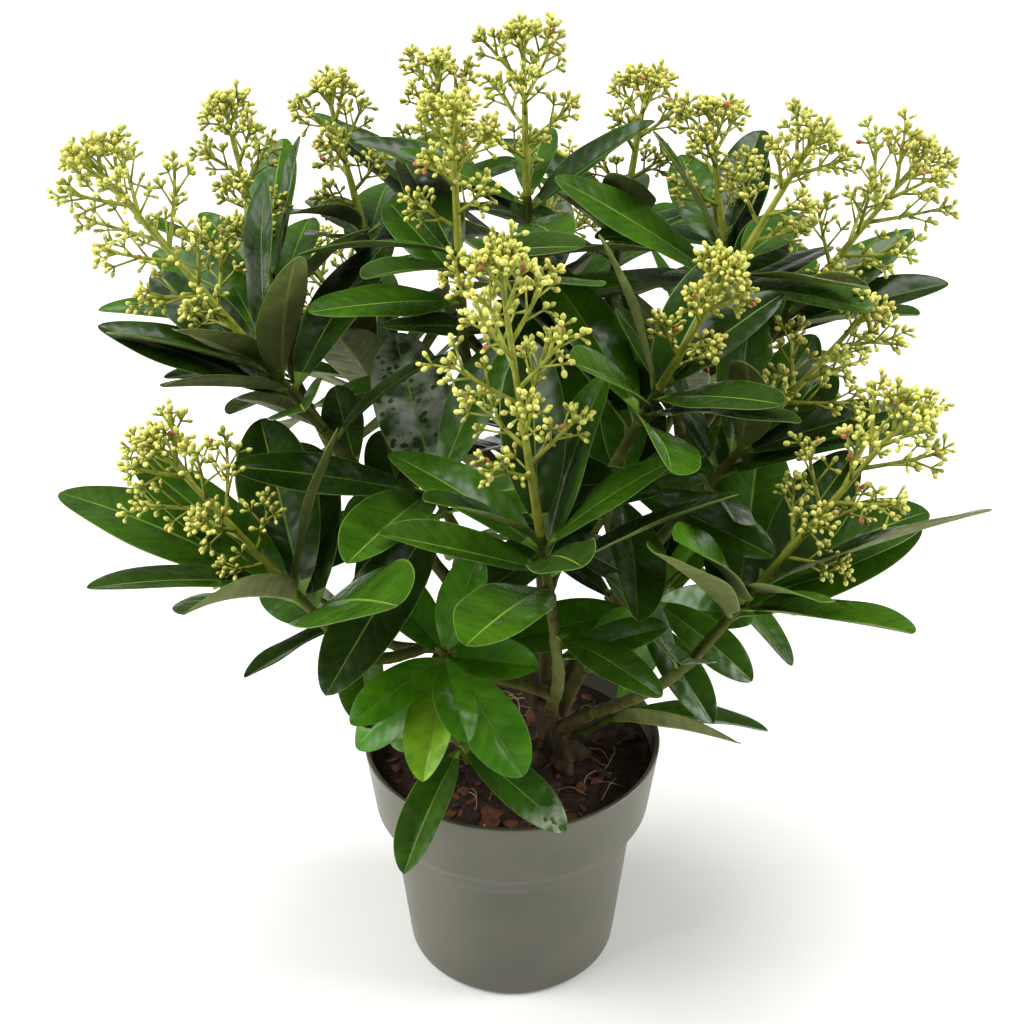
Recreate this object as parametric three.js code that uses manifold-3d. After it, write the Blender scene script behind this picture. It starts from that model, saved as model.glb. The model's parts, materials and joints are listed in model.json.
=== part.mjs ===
// A flowering skimmia in a round nursery pot: a woody foot that forks into long stems, each ending
// in a whorl of leathery leaves and, on most, an upright head of closed buds.
// Millimetres, +Z up. The origin is the middle of the pot's flat underside.
import * as THREE from "three";
import { mergeVertices } from "three/addons/utils/BufferGeometryUtils.js";
import Module from "manifold-3d";

const wasm = await Module();
wasm.setup();

// ---- Driving dimensions -------------------------------------------------------------------
const GAP = 0.3; // clearance between neighbouring solids
const SEED = 7;
const SEED_STEP = { shoot: 1000, sprays: 500 }; // keep the draws of leaves and of sprays apart

const POT = {
  height: 112,
  rimRadius: 65, // outside, at the lip
  collarHeight: 32, // the band under the lip
  collarRadius: 61,
  shoulderHeight: 11, // the slope from the collar in to the body
  shoulderRadius: 54.2,
  heelRadius: 47.5,
  heelRound: 4,
  heelSteps: 2,
  wall: 1.4,
  floor: 2.4,
  lipRound: 0.8,
  lipDepth: 2,
  innerHeel: 2.8, // the slope where the inside wall meets the floor
  sides: 40,
  drains: 6,
  drainWidth: 5,
  drainHeight: 2,
  drainDepth: 7,
};

const SOIL = {
  top: 104,
  sink: 2.5, // how much lower the surface is at the rim
  flatRadius: 16,
  rings: [30, 43, 54],
  relief: 2.6,
  sides: 20,
};

const TRUNK = {
  place: new THREE.Vector2(20, -4),
  lean: new THREE.Vector2(-4, 1), // how far the head stands from the foot
  height: 28,
  crown: 2.5, // the low peak on its head
  forkDrop: 5, // how far inside its surface the limbs begin
  rings: [
    { share: 0, radius: 12.5, lobes: 0.28 },
    { share: 0.14, radius: 9.4, lobes: 0.2 },
    { share: 0.38, radius: 7.6, lobes: 0.08 },
    { share: 0.75, radius: 7.4, lobes: 0.03 },
    { share: 1, radius: 6.2, lobes: 0 },
  ],
  roots: 5,
  sides: 15,
};

const BOUGH = {
  tipRadius: 2.1,
  steepness: 0.35, // how much more upright than its way to the end it leaves the trunk
  growth: 0.0065, // how much thicker for each millimetre back from the tip
  pull: 0.33, // how far its curve runs straight at each end, as a share of its span
  sides: 5,
  step: 24,
};

const STEM = {
  radius: 2,
  headRadius: 1.7,
  tipRadius: 0.8,
  middle: 0.5, // where its upper part has lost this much of its taper:
  middleTaper: 0.4,
  bud: 2, // length of its pointed end
  leafPitch: 2.4, // from one leaf down to the next
  foot: 10, // from the lowest leaf down to the bough
  sides: 4,
};

const LEAF = {
  width: 0.345, // share of its length
  youngWidth: 0.44, // on a young shoot
  petiole: 1.5, // half-width of the stalk
  bladeStart: 0.06, // share of the length where the blade begins
  skew: 1.12, // above 1 the blade is widest past its middle
  fullness: 0.64, // below 1 the outline is rounder
  thickness: 1.5,
  fold: 9, // degrees that each half is raised
  bend: [4, 24], // degrees that the midrib curves back along its length
  turn: 137.5, // degrees from one leaf to the next
  open: 32, // degrees that the highest leaf of a fully open whorl stands further off
  openFrom: 300, // height where whorls begin to open in the light, and
  openTo: 320, // where they are fully open
  light: 0.55, // how strongly the blade turns its face up
  rise: [0.44, 0.1], // the least that a flowering shoot's leaf starts out upwards, closed and open
  lengthSpread: 0.14,
  topLength: 0.78, // the highest leaf's length as a share of the lowest's
  jitter: 20, // degrees
  roll: 40, // degrees about the midrib between the blades rolled furthest each way
  stations: [0.14, 0.45, 0.8],
  clearance: 1, // kept to anything that belongs to a neighbour
  free: 0.2, // share of its length past which it is clear of its own shoot's leaves
  freeStep: 0.1,
};
// Turn and spread are changed by these degrees in order until the leaf is clear of its neighbours.
const LEAF_TRIES = [
  [0, 0], [22, -8], [-22, -8], [0, -22], [45, 0], [-45, 0], [38, -20], [-38, -20], [66, 0], [0, 16],
];

const HEAD = {
  pitch: 5.6, // from one spray up to the next
  bare: 0.16, // share of the flower stalk below the first spray
  turn: 137.5,
  angle: [60, 34], // degrees from the stalk, the lowest spray and the highest
  widest: [0.32, 0.96], // where the outline starts and ends on half a wave
  swell: 0.8, // below 1 the outline is rounder
  variety: [0.88, 1.08], // shortest and longest spray against the outline
  shortest: 11,
  longest: 0.4, // share of the head's height
  neck: 0.45, // share of a spray's length where its cluster begins
  club: 0.74, // and where it is thickest
  stalkRadius: 0.9,
  clusterRadius: 5.4,
  clusterShare: 0.26, // the cluster's radius on a short spray, as a share of its length
  sides: 3,
  clearance: 0.5,
  // The room it keeps free of the neighbours' leaves: shares of its height and of its radius.
  room: { low: 0.15, rings: [[0.45, 0.8], [0.8, 0.6]], high: 1.02, sides: 6 },
};

// Each shoot: the limb it forks from and how far along (its end, if not given), where its whorl of
// leaves sits, where its flower head or end bud reaches, the turn of its first leaf (0 is +X, 90 is
// +Y) and the radius of its flower head (none on a leafy shoot). FLOWERING and LEAFY give what a
// shoot doesn't: its leaf count, the leaves' length, and the degrees that its highest and lowest
// leaf stand off from the stem. A limb is named before those that fork from it.
const SHOOTS = {
  front: { from: "trunk", at: 0.8, head: [10, -80, 261], tip: [-5, -76, 368], turn: 92, flower: 27 },
  right: { from: "trunk", at: 0.6, head: [89, -20, 265], tip: [135, -16, 324], turn: 80, flower: 24 },
  left: { from: "trunk", at: 0.7, head: [-95, -5, 294], tip: [-157, 0, 377], turn: 140, flower: 27 },
  top: { from: "trunk", head: [6, 42, 342], tip: [4, 50, 409], turn: 80, flower: 24, leaves: 12 },
  rear_right: { from: "trunk", at: 0.9, head: [86, 55, 320], tip: [78, 64, 376], turn: 60, flower: 22 },
  back: { from: "trunk", at: 0.62, head: [14, 112, 272], tip: [18, 138, 332], turn: 80, flower: 24 },

  right_low: {
    from: "trunk", at: 0.5, head: [92, -64, 230], tip: [143, -66, 308], turn: 336, flower: 26,
    leaf: 102,
  },
  right_inner: { from: "right", at: 0.6, head: [54, -37, 298], tip: [78, -44, 351], turn: 30, flower: 16 },
  right_high: {
    from: "rear_right", at: 0.3, head: [112, 32, 298], tip: [162, 38, 366], turn: 260, flower: 26,
  },
  right_upper: {
    from: "rear_right", at: 0.56, head: [87, 14, 327], tip: [115, 18, 380], turn: 20, flower: 24,
  },
  rear_inner: {
    from: "rear_right", at: 0.66, head: [47, 78, 323], tip: [56, 88, 381], turn: 170, flower: 23,
  },
  left_low: {
    from: "left", at: 0.3, head: [-83, -65, 230], tip: [-131, -62, 293], turn: 220, flower: 24,
    leaves: 8, leaf: 106,
  },
  left_rear: { from: "left", at: 0.64, head: [-98, 44, 305], tip: [-113, 54, 381], turn: 80, flower: 19 },
  left_side: {
    from: "left_rear", at: 0.4, head: [-98, 76, 256], tip: [-126, 96, 312], turn: 160, flower: 20,
    leaf: 64,
  },
  upper: { from: "top", at: 0.6, head: [-20, 4, 335], tip: [-22, 8, 393], turn: 180, flower: 24 },
  rear: { from: "top", at: 0.7, head: [-30, 84, 327], tip: [-31, 94, 386], turn: 45, flower: 22 },
  rear_left: { from: "top", at: 0.42, head: [-62, 72, 319], tip: [-76, 82, 379], turn: 210, flower: 20 },
  back_left: { from: "back", at: 0.5, head: [-66, 110, 236], tip: [-96, 136, 290], turn: 160, flower: 24 },
  back_right: { from: "back", at: 0.36, head: [84, 104, 240], tip: [114, 130, 296], turn: 10, flower: 24 },

  front_low: {
    from: "front", at: 0.4, head: [-26, -66, 200], tip: [-28, -80, 213], turn: 285,
    leaves: 9, leaf: 50, young: true,
  },
  skirt: {
    from: "trunk", at: 0.4, head: [-23, -42, 141], tip: [-26, -48, 152], turn: 180,
    leaves: 4, leaf: 60, spread: [118, 82],
  },
  skirt_right: {
    from: "trunk", at: 0.4, head: [46, -6, 127], tip: [55, -7, 134], turn: 0,
    leaves: 3, leaf: 76, spread: [46, 30],
  },
  right_leafy: { from: "right", at: 0.3, head: [58, -30, 204], tip: [66, -38, 220], turn: 60, leaf: 62 },
  left_leafy: {
    from: "left", at: 0.24, head: [-66, -26, 190], tip: [-78, -34, 206], turn: 218, leaves: 5, leaf: 58,
    spread: [58, 84],
  },
  side_low: { from: "rear_right", at: 0.16, head: [90, 40, 184], tip: [106, 46, 200], turn: 0 },
  back_low: { from: "back", at: 0.2, head: [4, 84, 178], tip: [4, 102, 192], turn: 75 },
  middle_left: {
    from: "left", at: 0.46, head: [-30, -34, 254], tip: [-36, -42, 272], turn: 258, leaf: 93,
  },
  middle_right: {
    from: "rear_right", at: 0.4, head: [44, -26, 250], tip: [52, -34, 268], turn: 340, leaf: 90,
  },
};
const FLOWERING = { leaves: 10, leaf: 80, spread: [34, 84] };
const LEAFY = { leaves: 8, leaf: 73, spread: [58, 98] };

const FINISH = {
  pot: { color: 0x77766c, roughness: 0.55 },
  soil: { color: 0x2b1a12, roughness: 0.95 },
  trunk: { color: 0x5b4632, roughness: 0.85 },
  bough: { color: 0x6a6a34, roughness: 0.7 },
  leaf: { color: 0x35571f, roughness: 0.45 },
  youngLeaf: { color: 0x3f7a22, roughness: 0.45 },
};

// ---- Small tools --------------------------------------------------------------------------
const UP = new THREE.Vector3(0, 0, 1);
const vector = (p) => new THREE.Vector3(...p);
const radians = THREE.MathUtils.degToRad;
const mix = (a, b, share) => a + (b - a) * share;

// A seeded generator of numbers from 0 to 1 (mulberry32).
function random(seed) {
  let state = seed >>> 0;
  return () => {
    state = (state + 0x6d2b79f5) >>> 0;
    let t = state;
    t = Math.imul(t ^ (t >>> 15), t | 1);
    t ^= t + Math.imul(t ^ (t >>> 7), t | 61);
    return ((t ^ (t >>> 14)) >>> 0) / 4294967296;
  };
}

// Two unit vectors square to a direction and to each other: for a direction of +Z, +X and +Y.
function acrossOf(direction) {
  const first = new THREE.Vector3().crossVectors(new THREE.Vector3(0, 1, 0), direction).normalize();
  return [first, new THREE.Vector3().crossVectors(direction, first)];
}

// The direction at an angle from an axis, towards a turn round it, both in radians; and the
// direction square to it that faces back along the axis.
function turnedFrom(axis, angle, turn) {
  const [p, q] = acrossOf(axis);
  const outward = p.multiplyScalar(Math.cos(turn)).addScaledVector(q, Math.sin(turn));
  return {
    along: axis.clone().multiplyScalar(Math.cos(angle)).addScaledVector(outward, Math.sin(angle)),
    face: axis.clone().multiplyScalar(Math.sin(angle)).addScaledVector(outward, -Math.cos(angle)),
  };
}

// A closed solid from a geometry whose vertices can be merged by place.
function solidOf(geometry) {
  const bare = geometry.index ? geometry.toNonIndexed() : geometry;
  bare.deleteAttribute("normal");
  bare.deleteAttribute("uv");
  const merged = mergeVertices(bare, 1e-4);
  const corners = merged.index.array;
  const kept = [];
  for (let i = 0; i < corners.length; i += 3) {
    const [a, b, c] = corners.subarray(i, i + 3);
    if (a !== b && b !== c && c !== a) kept.push(a, b, c);
  }
  const vertProperties = new Float32Array(merged.attributes.position.array);
  const build = (triangles) =>
    new wasm.Manifold(
      new wasm.Mesh({ numProp: 3, vertProperties, triVerts: new Uint32Array(triangles) }),
    );
  const solid = build(kept);
  return solid.volume() > 0 ? solid : build(kept.reverse());
}

function geometryOf(solid) {
  const mesh = solid.getMesh();
  const positions = new Float32Array(mesh.numVert * 3);
  for (let i = 0; i < mesh.numVert; i++) {
    positions.set(mesh.vertProperties.subarray(i * mesh.numProp, i * mesh.numProp + 3), i * 3);
  }
  return new THREE.BufferGeometry()
    .setAttribute("position", new THREE.BufferAttribute(positions, 3))
    .setIndex(new THREE.BufferAttribute(new Uint32Array(mesh.triVerts), 1));
}

// The closed skin over a row of rings, each end a point where one is given and a flat cap if not.
function skin(rings, { first, last } = {}) {
  const count = rings[0].length;
  const points = rings.flat();
  const triangles = [];
  for (let r = 0; r + 1 < rings.length; r++) {
    for (let i = 0; i < count; i++) {
      const [a, b] = [r * count + i, r * count + ((i + 1) % count)];
      triangles.push(a, b, b + count, a, b + count, a + count);
    }
  }
  const close = (start, point, flip) => {
    const apex = point ? points.push(point) - 1 : start;
    const [from, to] = point ? [0, count] : [1, count - 1];
    for (let i = from; i < to; i++) {
      const [b, c] = [start + ((i + 1) % count), start + i];
      triangles.push(apex, ...(flip ? [c, b] : [b, c]));
    }
  };
  close(0, first, false);
  close((rings.length - 1) * count, last, true);
  return solidOf(new THREE.BufferGeometry().setFromPoints(points).setIndex(triangles));
}

// A ring of points round a centre, square to a direction.
function ringAt(centre, direction, radius, sides) {
  const [u, v] = acrossOf(direction);
  return Array.from({ length: sides }, (_, i) => {
    const angle = (2 * Math.PI * i) / sides;
    return centre
      .clone()
      .addScaledVector(u, radius * Math.cos(angle))
      .addScaledVector(v, radius * Math.sin(angle));
  });
}

// The largest of a solid's separate bodies, so that no loose scrap is kept.
function largest(solid) {
  return solid.decompose().reduce((best, body) => (body.volume() > best.volume() ? body : best));
}

function boxOf(solid) {
  const { min, max } = solid.boundingBox();
  return new THREE.Box3(vector(min), vector(max));
}

// ---- Pot and soil -------------------------------------------------------------------------
const COLLAR_FOOT = POT.height - POT.collarHeight;
const SHOULDER_FOOT = COLLAR_FOOT - POT.shoulderHeight;

// The pot's outside, from the middle of its underside up to its lip, as [radius, height].
function potOutside() {
  const outside = [[0, 0]];
  for (let i = 0; i <= POT.heelSteps; i++) {
    const angle = (Math.PI / 2) * (i / POT.heelSteps);
    outside.push([
      POT.heelRadius - POT.heelRound * (1 - Math.sin(angle)),
      POT.heelRound * (1 - Math.cos(angle)),
    ]);
  }
  outside.push([POT.shoulderRadius, SHOULDER_FOOT], [POT.collarRadius, COLLAR_FOOT]);
  outside.push([POT.rimRadius, POT.height - POT.lipRound], [POT.rimRadius - POT.lipRound, POT.height]);
  return outside;
}

// Its inside, from the lip down to the middle of its floor, taken in by an inset.
function potInside(inset) {
  const lip = POT.rimRadius - POT.wall - POT.lipRound - inset;
  const heel = POT.heelRadius - POT.wall - inset;
  return [
    [lip, POT.height],
    [lip, POT.height - POT.lipDepth],
    [POT.collarRadius - POT.wall - inset, COLLAR_FOOT + POT.wall / 2],
    [POT.shoulderRadius - POT.wall - inset, SHOULDER_FOOT + POT.wall / 2],
    [heel, POT.heelRound + POT.wall],
    [heel - POT.innerHeel, POT.floor + inset],
    [0, POT.floor + inset],
  ];
}

const lathe = (profile, sides) =>
  new THREE.LatheGeometry(profile.map(([r, z]) => new THREE.Vector2(r, z)), sides).rotateX(Math.PI / 2);

function makePot() {
  let pot = solidOf(lathe([...potOutside(), ...potInside(0)], POT.sides));
  for (let i = 0; i < POT.drains; i++) {
    const notch = new THREE.BoxGeometry(2 * POT.drainDepth, POT.drainWidth, 2 * POT.drainHeight);
    notch.translate(POT.heelRadius, 0, 0).rotateZ((2 * Math.PI * (i + 0.5)) / POT.drains);
    pot = pot.subtract(solidOf(notch));
  }
  return pot;
}

// The soil fills the pot. Its surface is flat in the middle, lumpy round that, and sinks to the wall.
function makeSoil() {
  const edgeHeight = SOIL.top - SOIL.sink;
  const [, above, below, ...walls] = potInside(GAP);
  const edgeRadius = mix(below[0], above[0], (edgeHeight - below[1]) / (above[1] - below[1]));
  const heightAt = (radius) => SOIL.top - SOIL.sink * (radius / edgeRadius) ** 2;
  const profile = [
    [0, SOIL.top],
    [SOIL.flatRadius, SOIL.top],
    ...SOIL.rings.map((radius) => [radius, heightAt(radius)]),
    [edgeRadius, edgeHeight],
    below,
    ...walls,
  ];
  const geometry = lathe(profile, SOIL.sides);
  const places = geometry.attributes.position;
  const chance = random(SEED);
  for (let column = 0; column < SOIL.sides; column++) {
    for (let row = 2; row < 2 + SOIL.rings.length; row++) {
      const lift = (chance() - 0.5) * SOIL.relief;
      // The first and the last column are one place, the lathe's seam.
      for (const c of column === 0 ? [0, SOIL.sides] : [column]) {
        const vertex = c * profile.length + row;
        places.setZ(vertex, places.getZ(vertex) + lift);
      }
    }
  }
  return solidOf(geometry);
}

// ---- Trunk and boughs ---------------------------------------------------------------------
// A point on the trunk's middle line.
const trunkPoint = (share) =>
  new THREE.Vector3(
    TRUNK.place.x + TRUNK.lean.x * share,
    TRUNK.place.y + TRUNK.lean.y * share,
    SOIL.top + GAP + TRUNK.height * share,
  );

// It flares into root lobes at a flat cut on the soil, and ends in a low peak.
function makeTrunk(grow = 0) {
  const rings = TRUNK.rings.map(({ share, radius, lobes }) =>
    Array.from({ length: TRUNK.sides }, (_, i) => {
      const angle = (2 * Math.PI * i) / TRUNK.sides;
      const reach = radius * (1 + lobes * Math.cos(TRUNK.roots * angle)) + grow;
      return new THREE.Vector3(Math.cos(angle) * reach, Math.sin(angle) * reach, 0).add(trunkPoint(share));
    }),
  );
  return skin(rings, { last: trunkPoint(1).addScaledVector(UP, TRUNK.crown + grow) });
}

// The line of each shoot: its axis at the whorl, where its bough ends, and the bough's curve.
function lineOf(shoot, lines) {
  const head = vector(shoot.head);
  const tip = vector(shoot.tip);
  const axis = tip.clone().sub(head).normalize();
  const end = head.clone().addScaledVector(axis, -STEM.foot - STEM.leafPitch * shoot.leaves);
  const parent = lines.get(shoot.from);
  const start = parent
    ? parent.curve.getPointAt(shoot.at)
    : trunkPoint(shoot.at).addScaledVector(UP, -TRUNK.forkDrop);
  const toEnd = end.clone().sub(start).normalize();
  const onward = parent
    ? parent.curve.getTangentAt(shoot.at)
    : toEnd.clone().addScaledVector(UP, BOUGH.steepness);
  const away = onward.add(toEnd).normalize();
  const pull = end.distanceTo(start) * BOUGH.pull;
  const curve = new THREE.CubicBezierCurve3(
    start,
    start.clone().addScaledVector(away, pull),
    end.clone().addScaledVector(axis, -pull),
    end,
  );
  return { ...shoot, head, tip, axis, end, curve, height: tip.distanceTo(head) };
}

const onAxis = (line, distance) => line.head.clone().addScaledVector(line.axis, distance);

// A round limb along the shoot's curve, thicker towards the fork.
function boughOf({ curve }, grow = 0) {
  const length = curve.getLength();
  const steps = Math.max(2, Math.round(length / BOUGH.step));
  const rings = Array.from({ length: steps + 1 }, (_, i) => {
    const radius = BOUGH.tipRadius + BOUGH.growth * length * (1 - i / steps) + grow;
    return ringAt(curve.getPointAt(i / steps), curve.getTangentAt(i / steps), radius, BOUGH.sides);
  });
  return skin(rings);
}

// Boughs are cut clear of the trunk and of the boughs made before them, so each starts at a fork.
function makeBoughs(lines) {
  const boughs = new Map();
  const taken = [makeTrunk(GAP)];
  for (const line of lines.values()) {
    boughs.set(line.name, largest(taken.reduce((bough, other) => bough.subtract(other), boughOf(line))));
    taken.push(boughOf(line, GAP));
  }
  return boughs;
}

// The stem through the whorl and on up the flower head, or to the end bud of a leafy shoot.
function stemOf(line, grow = 0) {
  const upperRadius = mix(STEM.headRadius, STEM.tipRadius, STEM.middleTaper);
  const stations = [
    [GAP - line.end.distanceTo(line.head), STEM.radius],
    [0, STEM.headRadius],
    [line.height * STEM.middle, upperRadius],
    [line.height - STEM.bud, STEM.tipRadius],
  ];
  const rings = stations.map(([distance, radius]) =>
    ringAt(onAxis(line, distance), line.axis, radius + grow, STEM.sides),
  );
  return skin(rings, { last: line.tip.clone() });
}

// ---- Leaves -------------------------------------------------------------------------------
// Half the blade's width at a share of its length: a stalk, then a rounded lance shape.
function halfWidth(share, length, width) {
  const along = Math.max(0, (share - LEAF.bladeStart) / (1 - LEAF.bladeStart)) ** LEAF.skew;
  const blade = (width * length * (4 * along * (1 - along)) ** LEAF.fullness) / 2;
  return Math.max(LEAF.petiole, blade);
}

// Leaf number i of a shoot, counted down from the whorl's top, with one of the tries applied.
function leafOf(line, i, [moreTurn, moreSpread]) {
  const chance = random(SEED + SEED_STEP.shoot * line.index + i);
  const down = i / (line.leaves - 1);
  const jitter = () => LEAF.jitter * (chance() - 0.5);
  const turn = radians(line.turn + LEAF.turn * i + jitter() + moreTurn);
  const open = THREE.MathUtils.smoothstep(line.head.z, LEAF.openFrom, LEAF.openTo);
  const standOff = mix(line.spread[0] + LEAF.open * open, line.spread[1], down);
  const spread = radians(standOff + jitter() + moreSpread);
  const size = mix(LEAF.topLength, 1, down) * (1 + 2 * LEAF.lengthSpread * (chance() - 0.5));
  const bend = radians(mix(...LEAF.bend, chance()));
  const { along, face } = turnedFrom(line.axis, spread, turn);
  if (line.flower) along.setZ(Math.max(along.z, mix(...LEAF.rise, open))).normalize();
  face.addScaledVector(UP, LEAF.light);
  face.addScaledVector(along, -face.dot(along)).normalize();
  face.applyAxisAngle(along, radians(LEAF.roll * (chance() - 0.5)));
  return {
    base: onAxis(line, -STEM.leafPitch * i),
    along,
    face,
    across: new THREE.Vector3().crossVectors(along, face),
    length: line.leaf * size,
    width: line.young ? LEAF.youngWidth : LEAF.width,
    bend,
  };
}

// A thin closed blade: the midrib is an arc that bends back from the face, and each section is a
// flat triangle, its two edges raised and its keel under the midrib. It starts as a point on the
// stem's axis or, for the free part of the blade alone, a little further out.
function leafSolid({ base, along, face, across, length, width, bend }, { grow = 0, from = 0 } = {}) {
  const midrib = (share) =>
    base
      .clone()
      .addScaledVector(along, (length * Math.sin(bend * share)) / bend)
      .addScaledVector(face, (-length * (1 - Math.cos(bend * share))) / bend);
  const rise = Math.sin(radians(LEAF.fold));
  const rings = LEAF.stations.map((station) => {
    const share = Math.max(station, from + LEAF.freeStep);
    const up = face.clone().multiplyScalar(Math.cos(bend * share));
    up.addScaledVector(along, Math.sin(bend * share));
    const half = halfWidth(share, length, width) + grow;
    const top = midrib(share).addScaledVector(up, half * rise + grow / 2);
    return [
      top.clone().addScaledVector(across, -half),
      top.clone().addScaledVector(across, half),
      midrib(share).addScaledVector(up, -LEAF.thickness - grow),
    ];
  });
  return skin(rings, { first: midrib(from), last: midrib(1 + grow / length) });
}

// ---- Flower heads -------------------------------------------------------------------------
// The sprays of a head, lowest first: each starts on the stalk and reaches the head's outline,
// which swells quickly and narrows to the top.
function spraysOf(line) {
  const chance = random(SEED + SEED_STEP.sprays + line.index);
  const steps = Math.round(((1 - HEAD.bare) * line.height) / HEAD.pitch);
  return Array.from({ length: steps + 1 }, (_, i) => {
    const share = i / steps;
    const angle = radians(mix(...HEAD.angle, share));
    const outline = Math.sin(Math.PI * mix(...HEAD.widest, share)) ** HEAD.swell;
    const reach = line.flower * outline * mix(...HEAD.variety, chance());
    const length = Math.min(Math.max(HEAD.shortest, reach / Math.sin(angle)), line.height * HEAD.longest);
    const topmost = line.height - length * Math.cos(angle);
    return {
      root: onAxis(line, Math.min(mix(HEAD.bare, 1, share) * line.height, topmost)),
      way: turnedFrom(line.axis, angle, radians(HEAD.turn * i + line.turn)).along,
      length,
    };
  });
}

// A thin stalk that opens into a cluster of buds.
function spraySolid({ root, way, length }, grow = 0) {
  const at = (share) => root.clone().addScaledVector(way, length * share);
  const radius = Math.min(HEAD.clusterRadius, HEAD.clusterShare * length);
  const rings = [
    ringAt(at(HEAD.neck), way, HEAD.stalkRadius + grow, HEAD.sides),
    ringAt(at(HEAD.club), way, radius + grow, HEAD.sides),
  ];
  return skin(rings, { first: root, last: at(1 + grow / length) });
}

// The room that a flower head needs.
function headRoom(line) {
  const { low, rings, high, sides } = HEAD.room;
  return skin(
    rings.map(([share, width]) =>
      ringAt(onAxis(line, line.height * share), line.axis, line.flower * width, sides),
    ),
    { first: onAxis(line, line.height * low), last: onAxis(line, line.height * high) },
  );
}

// ---- Growing the whole plant --------------------------------------------------------------
// What has been grown so far. A new piece has to be clear of everything that belongs to another
// shoot, and a blade also of the other blades on its own shoot.
class Space {
  constructor() {
    this.kept = [];
  }

  keep(owner, solid, kind = "limb") {
    this.kept.push({ owner, solid, kind, box: boxOf(solid) });
  }

  isClear(solid, matters) {
    const box = boxOf(solid);
    return !this.kept.some((other) => {
      if (!matters(other) || !box.intersectsBox(other.box)) return false;
      return !solid.intersect(other.solid).isEmpty();
    });
  }

  clearOfOthers(owner, solid) {
    return this.isClear(solid, (other) => other.owner !== owner && other.kind !== "blade");
  }

  takesLeaf(owner, leaf) {
    const blade = leafSolid(leaf, { from: LEAF.free });
    return (
      this.clearOfOthers(owner, leafSolid(leaf, { grow: LEAF.clearance })) &&
      this.isClear(blade, (other) => other.owner === owner && other.kind === "blade")
    );
  }
}

function makeLines() {
  const lines = new Map();
  Object.entries(SHOOTS).forEach(([name, shoot], index) => {
    const rest = shoot.flower ? FLOWERING : LEAFY;
    lines.set(name, lineOf({ name, index, at: 1, ...rest, ...shoot }, lines));
  });
  return lines;
}

// Adds the leaves, a layer at a time down all the whorls, so that neighbours share the room.
function addLeaves(lines, space, masses) {
  const layers = Math.max(...[...lines.values()].map((line) => line.leaves));
  for (let i = 0; i < layers; i++) {
    for (const line of lines.values()) {
      if (i >= line.leaves) continue;
      const choices = LEAF_TRIES.map((attempt) => leafOf(line, i, attempt));
      const leaf = choices.find((choice) => space.takesLeaf(line.name, choice));
      if (!leaf) continue;
      masses.get(line.name).push(leafSolid(leaf));
      space.keep(line.name, leafSolid(leaf), "leaf");
      space.keep(line.name, leafSolid(leaf, { from: LEAF.free }), "blade");
    }
  }
}

function addSprays(lines, space, masses) {
  for (const line of [...lines.values()].filter(({ flower }) => flower)) {
    for (const spray of spraysOf(line)) {
      const room = spraySolid(spray, HEAD.clearance);
      if (!space.clearOfOthers(line.name, room)) continue;
      masses.get(line.name).push(spraySolid(spray));
      space.keep(line.name, room);
    }
  }
}

// Each mass of foliage as the list of solids that it is joined from: its stem, leaves and sprays.
function makeMasses(lines) {
  const space = new Space();
  space.keep("pot", solidOf(lathe([...potOutside(), [0, POT.height]], POT.sides)));
  space.keep("trunk", makeTrunk(GAP));
  const masses = new Map();
  for (const line of lines.values()) {
    masses.set(line.name, [stemOf(line)]);
    space.keep("bough", boughOf(line, GAP));
    space.keep(line.name, stemOf(line, GAP));
    if (line.flower) space.keep(line.name, headRoom(line));
  }
  addLeaves(lines, space, masses);
  addSprays(lines, space, masses);
  return masses;
}

// ---- The part -----------------------------------------------------------------------------
const plant = new THREE.Group();

function addMesh(name, solid, finish) {
  const mesh = new THREE.Mesh(
    geometryOf(solid),
    new THREE.MeshStandardMaterial({ ...finish, metalness: 0 }),
  );
  mesh.name = name;
  plant.add(mesh);
}

const lines = makeLines();
addMesh("pot", makePot(), FINISH.pot);
addMesh("soil", makeSoil(), FINISH.soil);
addMesh("trunk", makeTrunk(), FINISH.trunk);
for (const [name, bough] of makeBoughs(lines)) addMesh(`bough_${name}`, bough, FINISH.bough);
for (const [name, pieces] of makeMasses(lines)) {
  const mass = largest(pieces.reduce((whole, piece) => whole.add(piece)));
  addMesh(`mass_${name}`, mass, lines.get(name).young ? FINISH.youngLeaf : FINISH.leaf);
}

export default plant;
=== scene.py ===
"""A potted skimmia in bud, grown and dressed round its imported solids.

The plant grows by the same seeded rule as its solids: every shoot is a limb, a whorl of leaves and,
on most, an upright head of closed buds. The rule and every shape work in millimetres, and a piece is
turned to metres when its mesh is made. +Z is up, +Y leads to the back of the plant.
"""

import json
import logging
import math
from collections.abc import Iterator, Sequence
from dataclasses import dataclass
from enum import Enum, IntEnum

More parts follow.
